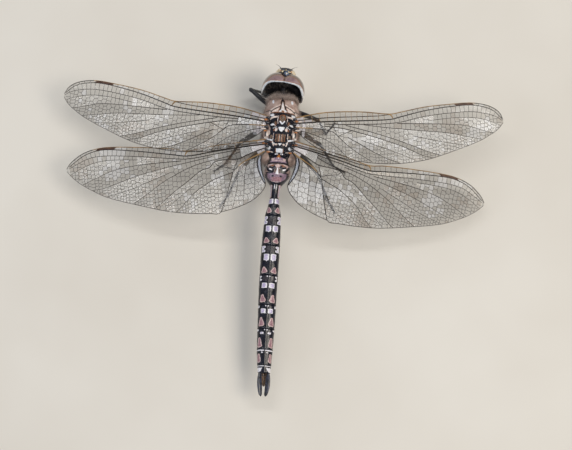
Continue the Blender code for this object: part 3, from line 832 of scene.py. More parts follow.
def body_tube(front, back, axis, sides, rings):
    """A tube 1 mm in radius along the animal, with its points, and for each of them f, the
    distance from the tube's axis and the angle round it."""
    tube = ringed_tube(place(0, front, axis), place(0, back, axis), 1.0, sides, rings)
    points = points_of(tube)
    rise = points[:, 2] - axis
    return tube, points, points[:, 1], np.hypot(points[:, 0], rise), np.arctan2(rise, points[:, 0])


def smooth(thing, angle=40):
    activate(thing)
    bpy.ops.object.shade_smooth_by_angle(angle=math.radians(angle))


def points_of(thing):
    """A mesh's points as (x, f, z)."""
    flat = np.empty(len(thing.data.vertices) * 3)
    thing.data.vertices.foreach_get("co", flat)
    return on_animal(flat)


def move_points(thing, points):
    """Puts a mesh's points at new (x, f, z) places."""
    world = np.stack((BODY_X + points[:, 0] * MM, WINGS_Y - points[:, 1] * MM, points[:, 2] * MM), 1)
    thing.data.vertices.foreach_set("co", world.ravel())
    thing.data.update()


def within(points, outline):
    """How far inside an outline each (a, b) point lies; negative outside."""
    nearest, inside = np.full(len(points), np.inf), np.zeros(len(points), bool)
    for start, end in zip(outline, outline[1:] + outline[:1]):
        edge, from_start = np.subtract(end, start), points - np.array(start)
        share = np.clip(from_start @ edge / max(edge @ edge, 1e-9), 0, 1)
        nearest = np.minimum(nearest, np.hypot(*(from_start - share[:, None] * edge).T))
        spans = (start[1] > points[:, 1]) != (end[1] > points[:, 1])
        meets = edge[0] * from_start[:, 1] / (edge[1] or 1e-9) + start[0]
        inside ^= spans & (points[:, 0] < meets)
    return np.where(inside, nearest, -nearest)


def from_line(points, line):
    """Each point's distance from a line through places of as many coordinates."""
    nearest = np.full(len(points), np.inf)
    line = [np.array(place_, float) for place_ in line]
    for start, end in zip(line, line[1:] or line):
        edge, from_start = end - start, points - start
        share = np.clip(from_start @ edge / max(edge @ edge, 1e-9), 0, 1)
        nearest = np.minimum(nearest, np.linalg.norm(from_start - share[:, None] * edge, axis=1))
    return nearest


def blob(points, centre, radii):
    """How far inside an oval patch each (a, b) point lies, roughly."""
    away = (points - np.array(centre)) / np.array(radii)
    return (1 - np.hypot(*away.T)) * min(radii)


OUTSIDE = -9.0                 # as a distance inside: nowhere near


def pens(above, top):
    """What draws on the upper side, in (x, f) places: a patch, an oval spot and a stroke."""
    def patch(*outline):
        return np.where(top, within(above, list(outline)), OUTSIDE)

    def spot(x_at, f_at, half_wide, half_long):
        return np.where(top, blob(above, (x_at, f_at), (half_wide, half_long)), OUTSIDE)

    def stroke(half_wide, *line):
        return half_wide - from_line(above, list(line)) + OUTSIDE * ~top

    return patch, spot, stroke


def paint(thing, kinds, marks):
    """Stores each kind of marking as an attribute: how far inside it a point lies."""
    count = len(thing.data.vertices)
    for kind in kinds:
        layer = thing.data.attributes.new(kind, "FLOAT", "POINT")
        patches = marks.get(kind, [])
        inside = np.maximum.reduce(patches) if patches else np.full(count, OUTSIDE)
        layer.data.foreach_set("value", inside.astype(np.float32))


class Profile:
    """Smooth values along the animal, from rows of (f, value, ...)."""

    def __init__(self, rows):
        rows = sorted(rows)
        self.places = np.linspace(rows[0][0], rows[-1][0], 400)
        self.values = np.array([between(rows, place_) for place_ in self.places]).reshape(400, -1)

    def at(self, f):
        return [np.interp(f, self.places, column) for column in self.values.T]


def oval(angle, half, up, down, squareness):
    across, rise = np.cos(angle), np.sin(angle)
    x = half * np.sign(across) * np.abs(across) ** (2 / squareness)
    z = np.where(rise > 0, up, down) * np.sign(rise) * np.abs(rise) ** (2 / squareness)
    return x, z


# ---------------------------------------------------------------- abdomen
# f, half width, rise above the axis and depth below it
ABDOMEN = Profile((
    (-4.9, 1.65, 1.6, 1.7), (-6.0, 1.9, 1.95, 1.9), (-7.15, 2.15, 2.1, 2.05), (-8.3, 2.6, 2.2, 2.15),
    (-9.2, 2.5, 2.1, 2.1), (-10.2, 1.8, 1.75, 1.7), (-11.0, 1.15, 1.4, 1.3), (-11.9, 0.9, 1.2, 1.1),
    (-13.3, 0.86, 1.15, 1.05), (-14.8, 1.05, 1.25, 1.1), (-16.2, 1.38, 1.35, 1.2),
    (-17.0, 1.52, 1.4, 1.25), (-19.5, 1.66, 1.45, 1.3), (-22.8, 1.76, 1.5, 1.3),
    (-28.5, 1.76, 1.5, 1.3), (-34.15, 1.7, 1.45, 1.3), (-38.7, 1.62, 1.4, 1.25),
    (-42.6, 1.5, 1.3, 1.15), (-45.55, 1.32, 1.15, 1.0), (-46.95, 1.15, 0.95, 0.9),
))
TUCK = 0.35                    # how far a plate reaches in under the one ahead
PLATE_AXIS = 8                 # heights of the tubes that the body's pieces are shaped from
CLASPER_AXIS = 6
THORAX_AXIS = 9
COLLAR_AXIS = 9.8
# how far the axis strays to the animal's left
SWAY = Profile(((-50.0, 0.0), (-47.0, 0.08), (-44.0, 0.2), (-36.0, 0.32), (-30.0, 0.42),
                (-20.0, 0.4), (-13.0, 0.34), (-11.0, 0.25), (-8.0, 0.1), (-5.0, 0.0)))
# bars at the front of a plate, pale pair across its middle and pink pair at its rear, each as
# (nearest to the midline, farthest, start and end as shares of the plate's length)
PLATE_MARKS = {
    3: ((0.6, 1.0, 0.02, 0.40), (0.12, 1.16, 0.47, 0.63), (0.26, 1.24, 0.74, 0.94)),
    4: ((0.95, 1.6, 0.04, 0.30), (0.14, 1.15, 0.36, 0.55), (0.28, 1.38, 0.75, 0.94)),
    5: ((0.98, 1.6, 0.03, 0.24), (0.14, 1.16, 0.30, 0.51), (0.28, 1.42, 0.73, 0.95)),
    6: ((1.25, 1.6, 0.03, 0.2), (0.18, 1.2, 0.27, 0.44), (0.28, 1.42, 0.66, 0.93)),
    7: ((1.4, 1.65, 0.03, 0.14), (0.22, 1.14, 0.17, 0.36), (0.32, 1.42, 0.53, 0.91)),
    8: ((1.35, 1.6, 0.03, 0.12), (0.4, 1.02, 0.17, 0.26), (0.54, 1.42, 0.43, 0.92)),
    9: ((0.1, 2.0, 0.0, 0.1), (0.3, 0.6, 0.16, 0.24), (0.66, 1.34, 0.28, 0.86)),
    10: ((0.0, 2.0, 0.03, 0.15), (0.42, 1.15, 0.26, 0.96), None),
}


def axis_height(f):
    slope = (WAIST_Z - TAIL_Z) / (WAIST_F - TAIL_F)
    return np.minimum(WAIST_Z + (f - WAIST_F) * slope, WAIST_Z + 0.25)


def plate_marks(number, points, front, length):
    """The pale pairs on plates 3 to 10, mirrored about the midline."""
    behind = front - points[:, 1]
    on_top = np.stack((np.abs(points[:, 0]), behind), 1)
    drop = points[:, 2] - axis_height(points[:, 1])
    side = np.stack((drop, behind), 1)
    bar, pair, rear = PLATE_MARKS[number]

    def slab(inner, outer, start, end):
        start, end = start * length, end * length
        return within(on_top, [(inner, start + 0.08), (inner + 0.15, start), (outer, start),
                               (outer, end), (inner + 0.1, end), (inner, end - 0.1)])

    patch = slab(*pair)
    if number in (4, 5):        # the pale pair is a little pointed at the rear
        middle, end = (pair[0] + pair[1]) / 2, pair[3] * length
        point = [(middle - 0.38, end - 0.15), (middle + 0.32, end - 0.15), (middle - 0.05, end + 0.2)]
        patch = np.maximum(patch, within(on_top, point))
    patch = np.minimum(patch, drop - 0.1)
    edge = np.minimum(slab(*bar), drop + 0.5)
    if number in (4, 5, 6):     # a dark notch in the inner side of each bar
        notch = blob(on_top, (bar[0] - 0.02, (bar[2] + bar[3]) / 2 * length), (0.3, 0.2))
        edge = np.minimum(edge, -notch)
    share = (on_top[:, 0] - pair[0]) / (pair[1] - pair[0])
    marks = {"white": [edge, patch], "lilac": [np.minimum(patch - 0.1, share - 0.3), edge - 0.13]}
    if number == 10:            # a spot shaped like a wing on each side
        wing = [(0.4, 0.36), (1.3, 0.33), (1.3, 0.95), (0.95, 0.97), (0.62, 0.7)]
        wing = within(on_top, [(x, share * length) for x, share in wing])
        marks = {"white": [edge, np.minimum(wing, drop)], "lilac": []}
    if rear:
        inner, outer, start, end = rear
        start, end, peak = start * length, end * length, inner + 0.6 * (outer - inner)
        tear = [(peak, start + 0.16), (peak + 0.1, start + 0.18), (outer - 0.16, end - 0.3),
                (outer - 0.2, end - 0.16), (inner + 0.3, end - 0.26), (inner + 0.2, end - 0.4)]
        tear = np.minimum(within(on_top, tear) + 0.16, drop - 0.1)
        marks["blush"], marks["pink"] = [tear], [tear - 0.14]
    if number < 9:              # a bluish patch and a pink spot low on each side
        low = [(-0.15, 0.1 * length), (-0.15, 0.34 * length), (-0.7, 0.4 * length),
               (-0.85, 0.12 * length)]
        spot = blob(side, (-0.5, 0.74 * length), (0.3, 0.14 * length))
        marks["lilac"].append(np.where(drop < 0, within(side, low), OUTSIDE))
        marks["pink"].append(np.where(drop < 0, spot, OUTSIDE))
    if number == 3:
        marks["blush"].append(slab(0.62, 1.4, 0.02, 0.43))
        # on plate 3 the front white mark is a pale pair beside the midline: a painted highlight
        marks["white"][0] = slab(0.12, 0.24, 0.0, 0.17)
    if number in (4, 5, 6):
        marks["brown"] = [slab(0.12, bar[0] - 0.12, bar[2], bar[3])]
    if number >= 6:
        dots = blob(on_top, (0.24, 0.05 * length), (0.1, 0.12))
        marks["white"].append(np.minimum(dots, drop))
    midline = 0.05 - on_top[:, 0] + OUTSIDE * (drop < 0)
    marks["black"] = [midline, 0.04 - behind, 0.12 - (length - behind)]
    return marks


def base_marks(points):
    """The pinker, busier pattern of plates 1 and 2."""
    on_top = np.stack((np.abs(points[:, 0]), points[:, 1]), 1)
    drop = points[:, 2] - axis_height(points[:, 1])
    side = np.stack((points[:, 1], drop), 1)
    patch, _, stroke = pens(on_top, drop > 0.4)
    return {
        "tan": [patch((-1, -7.2), (2.4, -7.2), (2.6, -9.2), (-1, -9.2)),
                within(side, [(-5.2, 0.6), (-5.2, -1.2), (-7.0, -1.4), (-7.0, 0.5)])],
        "mauve": [patch((-1, -5.85), (0.7, -5.95), (1.35, -6.35), (1.65, -6.95), (-1, -7.0)),
                  patch((-1, -9.0), (1.9, -9.0), (1.7, -10.3), (1.2, -10.85), (-1, -10.95)),
                  within(side, [(-7.4, 0.3), (-7.4, -1.0), (-10.4, -0.9), (-10.4, 0.2)])],
        "blush": [stroke(0.12, (2.3, -7.4), (2.6, -8.3), (2.5, -9.2), (2.1, -10.1)),
                  stroke(0.07, (0.0, -6.6), (1.2, -6.62)), blob(on_top, (1.1, -6.3), (0.3, 0.22)),
                  blob(on_top, (0.1, -7.65), (0.4, 0.3)), stroke(0.06, (0.1, -10.7), (0.9, -10.5)),
                  stroke(0.09, (1.0, -7.35), (1.7, -7.5), (1.9, -7.8))],
        "brown": [blob(on_top, (0.72, -6.2), (0.26, 0.2)), blob(on_top, (1.85, -9.45), (0.3, 0.35)),
                  patch((0.35, -7.55), (0.95, -7.6), (0.9, -8.0), (0.3, -8.2))],
        "pink": [patch((-1, -9.7), (1.0, -9.8), (0.9, -10.5), (-1, -10.6))],
        "amber": [patch((-0.42, -6.0), (0.0, -5.2), (0.42, -6.0)),
                  blob(on_top, (1.05, -7.6), (0.3, 0.12))],
        "white": [stroke(0.15, (1.05, -8.5), (1.3, -8.42), (1.5, -8.3)),
                  patch((-0.3, -9.3), (0.0, -7.95), (0.3, -9.3)),
                  blob(on_top, (0.5, -5.2), (0.3, 0.2)), blob(on_top, (0.0, -6.1), (0.12, 0.14))],
        "black": [stroke(0.2, (0.5, -8.0), (0.82, -8.35), (0.8, -8.85)),
                  stroke(0.18, (0.95, -8.15), (1.5, -7.95)), stroke(0.06, (0.35, -8.3), (0.5, -9.0)),
                  stroke(0.2, (2.2, -7.7), (1.95, -8.2), (1.6, -8.66), (1.1, -8.82)),
                  stroke(0.12, (2.1, -9.0), (1.4, -9.02), (0.8, -8.95)),
                  stroke(0.22, (-0.1, -11.0), (0.8, -10.84), (1.45, -10.5), (2.0, -9.95)),
                  stroke(0.06, (0.45, -5.2), (0.62, -6.0)), 0.1 - np.abs(points[:, 1] + 7.05),
                  blob(on_top, (1.8, -6.95), (0.24, 0.2)), blob(on_top, (0.76, -9.62), (0.2, 0.19))],
    }


def make_abdomen(material):
    """Ten ringed plates, each with a ridge along its top and a groove along its underside."""
    for number, (front, back) in enumerate(zip(SEGMENT_ENDS, SEGMENT_ENDS[1:]), start=1):
        sides, rings = (240, 120) if number < 3 else (144, 90)
        plate, points, f, core, angle = body_tube(front + TUCK - GAP / 2, back + 0.02, PLATE_AXIS,
                                                  sides, rings)
        half, up, down = ABDOMEN.at(f)
        x, z = oval(angle, half, up, down, 2.2)
        ahead, behind, length = front - f, f - back, front - back
        # narrower where it tucks in ahead and at its rear edge, with a low rim before that edge
        size = 1 - 0.1 * np.clip(1 - ahead / 0.12, 0, 1) - 0.05 * np.clip(1 - behind / 0.08, 0, 1) ** 2
        size += 0.02 * np.exp(-((behind - 0.14) / 0.09) ** 2)
        if 2 < number < 9:
            carina = PLATE_MARKS[number][1][3] * length + 0.1
            size += 0.012 * np.exp(-((ahead - carina) / 0.07) ** 2)
        size += 0.008 * np.sin(f * 3.1 + np.abs(x) * 2.0)
        ridge = 0.05 * np.exp(-(x / 0.12) ** 2) * (z > 0)
        under = np.clip(1 - np.abs(np.degrees(angle) + 90) / 38, 0, 1)
        groove = 0.22 * np.minimum(under * 4, 1) - 0.16 * (under > 0.78)
        points[:, 0] = x * size * core
        points[:, 2] = axis_height(f) + (z + ridge + groove * np.minimum(down, 1)) * size * core
        marks = base_marks(points) if number < 3 else plate_marks(number, points, front, length)
        points[:, 0] += SWAY.at(f)[0]
        move_points(plate, points)
        paint(plate, ABDOMEN_TONES, marks)
        smooth(plate, 60)
        stands_for(plate, f"abdomen_plate_{number}", material,
                   "violet_shell" if number < 3 else "black_shell", f"abdomen_{number}")


# the claspers: place along the axis, distance from the middle, half width, half thickness, height
CERCUS = ((-47.05, 0.78, 0.3, 0.3, 6.3), (-47.9, 0.8, 0.42, 0.3, 6.3), (-49.2, 0.74, 0.47, 0.28, 6.2),
          (-50.3, 0.62, 0.4, 0.26, 6.0), (-51.0, 0.5, 0.3, 0.25, 5.85), (-51.3, 0.44, 0.2, 0.2, 5.8))
EPIPROCT = ((-47.05, 0.0, 0.5, 0.3, 5.55), (-48.2, 0.0, 0.42, 0.28, 5.3), (-49.3, 0.0, 0.28, 0.25, 5.25))


def make_claspers(material, amber):
    """Leaf-like upper claspers with a raised inner rib, and the short plate below them."""
    blades = (("cercus_left", 1, CERCUS), ("cercus_right", -1, CERCUS), ("epiproct", 1, EPIPROCT))
    for name, side, rows in blades:
        front, back = rows[0][0], rows[-1][0]
        blade, points, f, core, angle = body_tube(front + 0.4, back, CLASPER_AXIS, 32, 36)
        out, half, thick, height = Profile(rows).at(f)
        x, z = oval(angle, half, thick, thick, 2.0)
        tip = np.sqrt(np.clip((f - back) / 0.35, 0.0, 1))
        rib = 0.09 * np.exp(-((x + half * 0.35) / 0.1) ** 2) * (z > 0)
        z = z * (0.55 + 0.45 * np.abs(np.cos(angle)) ** 0.5) + rib
        points[:, 0] = side * (out + x * core * tip) + SWAY.at(f)[0]
        points[:, 2] = height + z * core * np.maximum(tip, 0.3)
        move_points(blade, points)
        face_up(blade)
        smooth(blade)
        look = amber if name == "epiproct" else material
        stands_for(blade, name + "_blade", look, "black_shell", name)


# ---------------------------------------------------------------- thorax
# f, height of the axis, half width, rise above the axis and depth below it
THORAX = Profile((
    (6.3, 9.5, 2.3, 2.0, 1.5), (5.3, 9.2, 2.9, 3.2, 2.7), (3.9, 8.9, 3.3, 4.4, 4.0),
    (2.0, 8.9, 3.5, 5.0, 4.6), (0.2, 8.9, 3.5, 5.0, 4.5), (-1.6, 8.9, 3.55, 4.5, 4.1),
    (-3.2, 8.9, 3.6, 3.8, 3.6), (-4.8, 8.9, 3.6, 2.9, 3.1), (-6.0, 8.7, 3.35, 2.0, 2.5),
    (-6.6, 8.6, 2.9, 1.4, 2.0),
))
COLLAR = Profile(((7.25, 10.0, 1.1, 0.9, 0.9), (6.9, 9.9, 1.8, 1.4, 1.5), (6.4, 9.7, 2.1, 1.7, 1.8)))
COLLAR_FRONT, COLLAR_BACK = 7.3, 6.1
# creases between the side plates, in (f, z) places
CREASES = (((2.9, 12.9), (3.4, 9.0), (3.9, 6.4)), ((-0.6, 12.4), (0.6, 8.5), (1.2, 5.4)),
           ((-2.3, 11.5), (-0.6, 8.0), (0.0, 5.2)))
# lumps of the plates between the wings, as place (x, f), radii and height
LUMPS = (((0.5, 0.7), (0.6, 0.8), 0.42), ((0, -1.1), (0.65, 0.55), 0.5), ((1.95, 1.4), (0.6, 0.45), 0.3),
         ((1.85, -0.1), (0.5, 0.4), 0.25), ((0.5, -2.4), (0.8, 0.7), 0.36), ((0, -4.4), (0.75, 0.5), 0.34),
         ((2.1, -3.7), (0.5, 0.45), 0.25), ((2.1, -1.9), (0.4, 0.25), 0.2))


def thorax_marks(points):
    """The pattern of the thorax, nearly mirrored about the midline."""
    f, z = points[:, 1], points[:, 2]
    # the midline strays a little, so the two sides are not quite alike
    x = np.abs(points[:, 0] + 0.25 * np.exp(-((f - 1.5) / 2.6) ** 2))
    axis, half, up, _ = THORAX.at(f)
    beside = np.stack((f, z), 1)
    patch, spot, stroke = pens(np.stack((x, f), 1), z - axis > 0.55 * up)

    def flank(patch_):
        return np.where(x > 0.5 * half, patch_, OUTSIDE)

    return {
        "black": [patch((-1, 2.4), (2.4, 2.35), (2.7, 0.6), (2.1, -0.6), (2.3, -2.4), (2.4, -4.4),
                        (1.5, -6.6), (-1, -6.6)),
                  patch((-1, 6.4), (0.22, 6.1), (0.26, 5.0), (0.42, 4.2), (0.62, 3.2), (0.8, 2.6),
                        (-1, 2.6))],
        "umber": [spot(0, 1.05, 0.5, 0.6), patch((-1, -1.7), (0.95, -1.7), (0.9, -3.05), (-1, -3.1)),
                  spot(1.3, 0.4, 0.25, 0.3), spot(1.75, -2.1, 0.3, 0.3)],
        "cream": [patch((-1, 4.85), (0.07, 4.8), (0.2, 4.0), (0.4, 3.0), (0.8, 2.5), (-1, 2.45)),
                  stroke(0.15, (0.42, 4.12), (1.0, 3.75), (1.9, 3.3), (2.4, 2.9), (2.55, 2.3)),
                  patch((0.75, 3.45), (1.2, 3.2), (1.95, 2.8), (2.2, 2.5), (1.0, 2.5)),
                  stroke(0.13, (1.1, 1.5), (1.7, 1.45), (2.3, 1.2)), spot(0.98, -0.85, 0.28, 0.32),
                  spot(2.45, -1.4, 0.36, 0.5), stroke(0.1, (1.45, -3.0), (1.2, -3.7)),
                  spot(0.75, -3.5, 0.28, 0.16), stroke(0.08, (1.2, -4.9), (2.2, -4.6)),
                  stroke(0.06, (1.2, -0.2), (1.5, 0.1)), stroke(0.05, (0.75, 1.75), (0.95, 1.0), (0.8, 0.2)),
                  stroke(0.05, (0.2, -1.85), (0.2, -2.95)), stroke(0.05, (1.35, -1.5), (1.4, -2.6)),
                  stroke(0.05, (0.9, -5.1), (1.0, -5.9))],
        "rust": [stroke(0.09, (0.26, 5.2), (0.34, 4.2), (0.55, 3.4)), stroke(0.1, (0.6, 2.44), (2.1, 2.44)),
                 stroke(0.07, (0.6, 3.1), (0.95, 2.8)), spot(0, 2.6, 0.22, 0.25),
                 stroke(0.09, (0.55, 1.4), (0.35, 1.75), (0.0, 1.8)), stroke(0.08, (0.55, 1.4), (0.45, 0.6)),
                 spot(1.35, -0.9, 0.16, 0.25), stroke(0.09, (0.33, -1.8), (0.35, -3.0)),
                 stroke(0.06, (0.85, -1.8), (0.85, -3.0)), spot(2.7, -3.3, 0.3, 0.3),
                 stroke(0.06, (1.05, 2.1), (1.6, 1.85), (2.3, 1.75)), stroke(0.06, (1.1, -0.1), (1.3, 0.7)),
                 stroke(0.06, (0.7, -4.3), (0.75, -4.9)), stroke(0.05, (1.6, -3.1), (2.3, -3.0))],
        "white": [spot(1.83, 4.95, 0.22, 0.46), stroke(0.09, (0.0, 4.4), (0.0, 3.0)),
                  stroke(0.05, (1.0, -0.35), (1.6, -0.6)), stroke(0.06, (0.95, -3.35), (1.5, -3.25)),
                  stroke(0.11, (0.25, 3.0), (0.65, 2.65)), spot(2.05, 1.85, 0.42, 0.3),
                  stroke(0.12, (0.05, 0.2), (0.42, 0.62)), spot(1.85, 0.1, 0.34, 0.23),
                  patch((-1, -0.3), (0.62, -0.4), (0.5, -0.85), (0.15, -1.3), (-1, -1.3)),
                  spot(2.75, -2.2, 0.26, 0.24), stroke(0.13, (1.55, -2.75), (2.45, -2.5)),
                  patch((-1, -3.3), (0.4, -3.3), (0.0, -3.75), (-1, -3.75)), spot(2.1, -4.1, 0.4, 0.32),
                  patch((-1, -4.25), (0.62, -4.25), (0.66, -4.8), (0.5, -4.92), (-1, -4.92)),
                  flank(within(beside, [(1.7, 12.2), (0.8, 12.0), (1.7, 6.2), (2.7, 6.0)])),
                  flank(within(beside, [(-2.9, 11.0), (-4.4, 10.5), (-2.4, 5.9), (-0.9, 5.6)]))],
        "line": [stroke(0.06, (0.27, 5.2), (0.33, 4.2), (0.56, 3.3)),
                 stroke(0.09, (0.45, 3.85), (1.0, 3.5), (1.9, 3.06), (2.3, 2.66)),
                 stroke(0.09, (0.0, -1.5), (1.2, -1.45)), stroke(0.07, (0.0, -1.6), (0.0, -3.1)),
                 stroke(0.06, (0.62, -1.8), (0.62, -3.0)), stroke(0.06, (0.66, -0.5), (0.62, -1.1)),
                 stroke(0.1, (0.0, -5.05), (1.5, -5.0)),
                 *[flank(0.08 - from_line(beside, crease)) for crease in CREASES]],
    }


def thorax_relief(points):
    """How far the plates of the thorax stand out or sink in, in mm."""
    x, f, z = np.abs(points[:, 0]), points[:, 1], points[:, 2]
    axis, half, up, _ = THORAX.at(f)
    above, beside = np.stack((x, f), 1), np.stack((f, z), 1)
    on_top = np.clip((z - axis) / up * 3 - 1.6, 0, 1)
    on_side = np.clip(x / half * 2.5 - 1.2, 0, 1)

    def swell(distance, width, height):
        return height * np.exp(-(distance / width) ** 2)

    rise = swell(from_line(above, [(0, 5.6), (0, 2.0)]), 0.16, 0.22)
    rise += swell(from_line(above, [(0, 2.0), (1.2, 1.85), (2.6, 1.75)]), 0.16, 0.3)
    rise -= 0.42 * np.clip((1.6 - f) / 0.5, 0, 1) * np.clip((f + 6.2) / 0.6, 0, 1)
    for centre, radii, height in LUMPS:
        away = (above - np.array(centre)) / np.array(radii)
        rise += height * np.exp(-(away ** 2).sum(1))
    sunk = sum(swell(from_line(beside, crease), 0.14, 0.14) for crease in CREASES)
    pillow = 0.05 * np.sin(f * 2.2 + z * 0.7)
    return rise * on_top + (pillow - sunk) * on_side


def make_thorax(material):
    """The plated body that carries wings and legs."""
    body, points, f, core, angle = body_tube(THORAX_FRONT, THORAX_BACK, THORAX_AXIS, 320, 210)
    axis, half, up, down = THORAX.at(f)
    x, z = oval(angle, half, up, down, 2.3)
    from_end = np.minimum(THORAX_FRONT - f, f - THORAX_BACK)
    rounding = np.sqrt(np.clip(from_end / 0.5, 0, 1)) * 0.2 + 0.8
    points[:, 0], points[:, 2] = x, axis + z
    rise = thorax_relief(points)
    points[:, 0] = (x + np.cos(angle) * rise) * core * rounding
    points[:, 2] = axis + (z + np.sin(angle) * rise) * core * rounding
    move_points(body, points)
    paint(body, THORAX_TONES, thorax_marks(points))
    smooth(body, 60)
    return stands_for(body, "thorax_plates", material, "brown_shell", "thorax")


def make_collar(material):
    """The ring between thorax and neck, with two low lobes."""
    collar, points, f, core, angle = body_tube(COLLAR_FRONT, COLLAR_BACK, COLLAR_AXIS, 64, 24)
    axis, half, up, down = COLLAR.at(f)
    x, z = oval(angle, half, up, down, 2.2)
    lobes = 1 + 0.07 * np.sin((f - 6.2) * 9)
    points[:, 0], points[:, 2] = x * core * lobes, axis + z * core * lobes
    move_points(collar, points)
    paint(collar, THORAX_TONES, {"black": [f - 6.5], "cream": [0.05 - np.abs(f - 6.4)]})
    smooth(collar, 60)
    return stands_for(collar, "collar_plate", material, "brown_shell", "prothorax")


# ---------------------------------------------------------------- head
# centre (x, back, up) and radii of each rounded piece, in the head's own frame, nose to -Y
SKULL = ((0.0, 0.9, -0.2), (3.5, 3.05, 2.75))
EYE = ((1.25, 1.15, 0.1), (2.95, 3.75, 3.15))
REAR_HOLLOW = ((0.0, 4.24, 0.0), (4.42, 4.42, 4.42))
FACE_OPENING = ((0.0, -2.9, -1.9), (2.15, 3.4, 2.95))
# the face's plates, as centre and radii; the last number is 1 for an oval, less for a squarer one
FACE_PIECES = (
    ("frons", (0.0, -2.45, 0.1), (2.05, 1.85, 1.2), 0.85),
    ("clypeus", (0.0, -2.5, -1.4), (1.9, 1.55, 1.05), 0.7),
    ("labrum", (0.0, -2.2, -2.6), (1.7, 1.35, 0.85), 0.7),
    ("labium", (0.0, -0.7, -2.85), (1.8, 1.9, 0.85), 0.85),
)
HOLLOW_BACK, HOLLOW_RADIUS = REAR_HOLLOW[0][1], REAR_HOLLOW[1][0]
HOLLOW_HALF = 3.87             # half width of the hollow's straight rim
HOLLOW_OPENS = (2.3, 0.7, 0.3)     # where it starts to open to the sides, over what length, how much
VERTEX = ((0.0, -1.75, 1.95), (0.8, 0.75, 0.7))
ANTENNA = ((0.75, -2.35, 2.15), (1.2, -2.95, 2.3), (1.75, -3.5, 2.1), (2.2, -3.95, 1.7))
# centre and size of the three simple eyes on the brow
OCELLI = (((0, -2.42, 2.2), 0.2), ((0.62, -1.9, 2.42), 0.16), ((-0.62, -1.9, 2.42), 0.16))
NECK_FRONT, NECK_BACK, NECK_Z, NECK_RADIUS = 8.3, 7.0, 10.05, 0.55
PALER_WAY = (0.0, 0.52, 0.85)  # the eyes are paler where they face this way
HEAD = (Matrix.Translation(place(*HEAD_AT)) @ Matrix.Rotation(HEAD_TURN, 4, "Z")
        @ Matrix.Rotation(HEAD_PITCH, 4, "X"))


def in_head(x, back, up):
    return HEAD @ (Vector((x, back, up)) * MM)


def head_points(thing):
    """A mesh's points in the head's own frame, in mm."""
    flat = np.empty(len(thing.data.vertices) * 3)
    thing.data.vertices.foreach_get("co", flat)
    back = np.array(HEAD.inverted())
    return (flat.reshape(-1, 3) @ back[:3, :3].T + back[:3, 3]) / MM


def move_in_head(thing, points):
    """Puts a mesh's points at new places in the head's frame."""
    for vert, spot in zip(thing.data.vertices, points):
        vert.co = in_head(*spot)


def rounded(centre, radii, grow=0.0, segments=64, rings=40):
    """An oval piece of the head."""
    size = [(radius + grow) * MM for radius in radii]
    return ball(in_head(*centre), size, segments, rings, (HEAD_PITCH, 0, HEAD_TURN))


def face_plate(centre, radii, squareness, grow=0.0, segments=64, rings=40):
    """A plate of the face: an oval with its flanks filled out."""
    plate = rounded(centre, radii, grow, segments, rings)
    size = np.array(radii) + grow
    unit = (head_points(plate) - centre) / size
    move_in_head(plate, np.sign(unit) * np.abs(unit) ** squareness * size + centre)
    return plate


def beyond_seam(side):
    """A block that covers the other half of the head, up to half a gap past the middle."""
    deselect()
    bpy.ops.mesh.primitive_cube_add(size=2.0, location=in_head(-side * (5 - GAP / 4), 0, 0),
                                    rotation=(HEAD_PITCH, 0, HEAD_TURN),
                                    scale=(5 * MM, 9 * MM, 9 * MM))
    return settled()


def carve(thing, cutters):
    activate(thing)
    for cutter in cutters:
        bpy.ops.object.modifier_add(type="BOOLEAN")
        cut = thing.modifiers[-1]
        cut.operation, cut.solver, cut.object = "DIFFERENCE", "EXACT", cutter
        bpy.ops.object.modifier_apply(modifier=cut.name)


def discard(cutters):
    for cutter in cutters:
        bpy.data.objects.remove(cutter)


def make_eyes(cutters, material):
    for side, word in ((1, "left"), (-1, "right")):
        (x, back, up), radii = EYE
        eye = rounded((x * side, back, up), radii, segments=128, rings=80)
        other_half = beyond_seam(side)
        carve(eye, [*cutters, other_half])
        discard([other_half])
        points = head_points(eye)
        hollow, across = outside_hollow(points), np.abs(points[:, 0])
        slope = (np.stack((across, points[:, 1], points[:, 2]), 1) - (x, back, up)) / np.square(radii)
        facing = slope @ PALER_WAY / np.linalg.norm(slope, axis=1)
        front = -1.75 - points[:, 1] + 0.25 * np.abs(points[:, 2])
        wide = 0.3 + 0.16 * (across / 3.5) ** 3
        paint(eye, EYE_TONES, {
            "brown": [0.6 - facing, 0.2 - across],
            "dark": [0.21 - np.abs(facing - 0.25), front, 0.05 - across],
            # the last mark paints the eye's face inside the rear hollow near black, as its shade
            "amber": [wide + 0.09 - hollow], "rim": [wide - hollow], "hollow": [0.03 - hollow]})
        smooth(eye)
        stands_for(eye, "eye_globe_" + word, material, "eye_brown", "eye_" + word)


def face_marks(name, points):
    """What is drawn on one plate of the face, from its points in the head's frame."""
    across, up = np.abs(points[:, 0]), points[:, 2]
    above = np.stack((across, points[:, 1]), 1)
    if name == "frons":
        cap = within(above, [(-1, -4.6), (1.0, -4.5), (1.4, -3.8), (1.05, -3.4), (0.7, -3.2), (-1, -3.1)])
        stem = within(above, [(-1, -3.7), (0.34, -3.7), (0.26, -3.1), (0.6, -2.8), (-1, -2.7)])
        rear = within(above, [(-1, -2.85), (0.7, -2.8), (1.9, -2.5), (1.9, -1.6), (-1, -1.6)])
        cap = np.minimum(cap, up - 0.68 - 0.06 * across)
        return {"blue": [np.where(up > 0.1, np.maximum(cap + 0.05, stem), OUTSIDE)],
                "black": [np.where(up > 0.1, np.maximum(cap - 0.1, rear), OUTSIDE)],
                "amber": [0.16 - np.hypot(across - 1.05, points[:, 1] + 2.95)]}
    if name == "clypeus":
        return {"black": [0.07 - np.abs(up + 1.15) + OUTSIDE * (across > 1.2)]}
    if name == "labrum":
        return {"black": [-3.15 - up, 0.05 - across + OUTSIDE * (up > -2.8)]}
    return {}


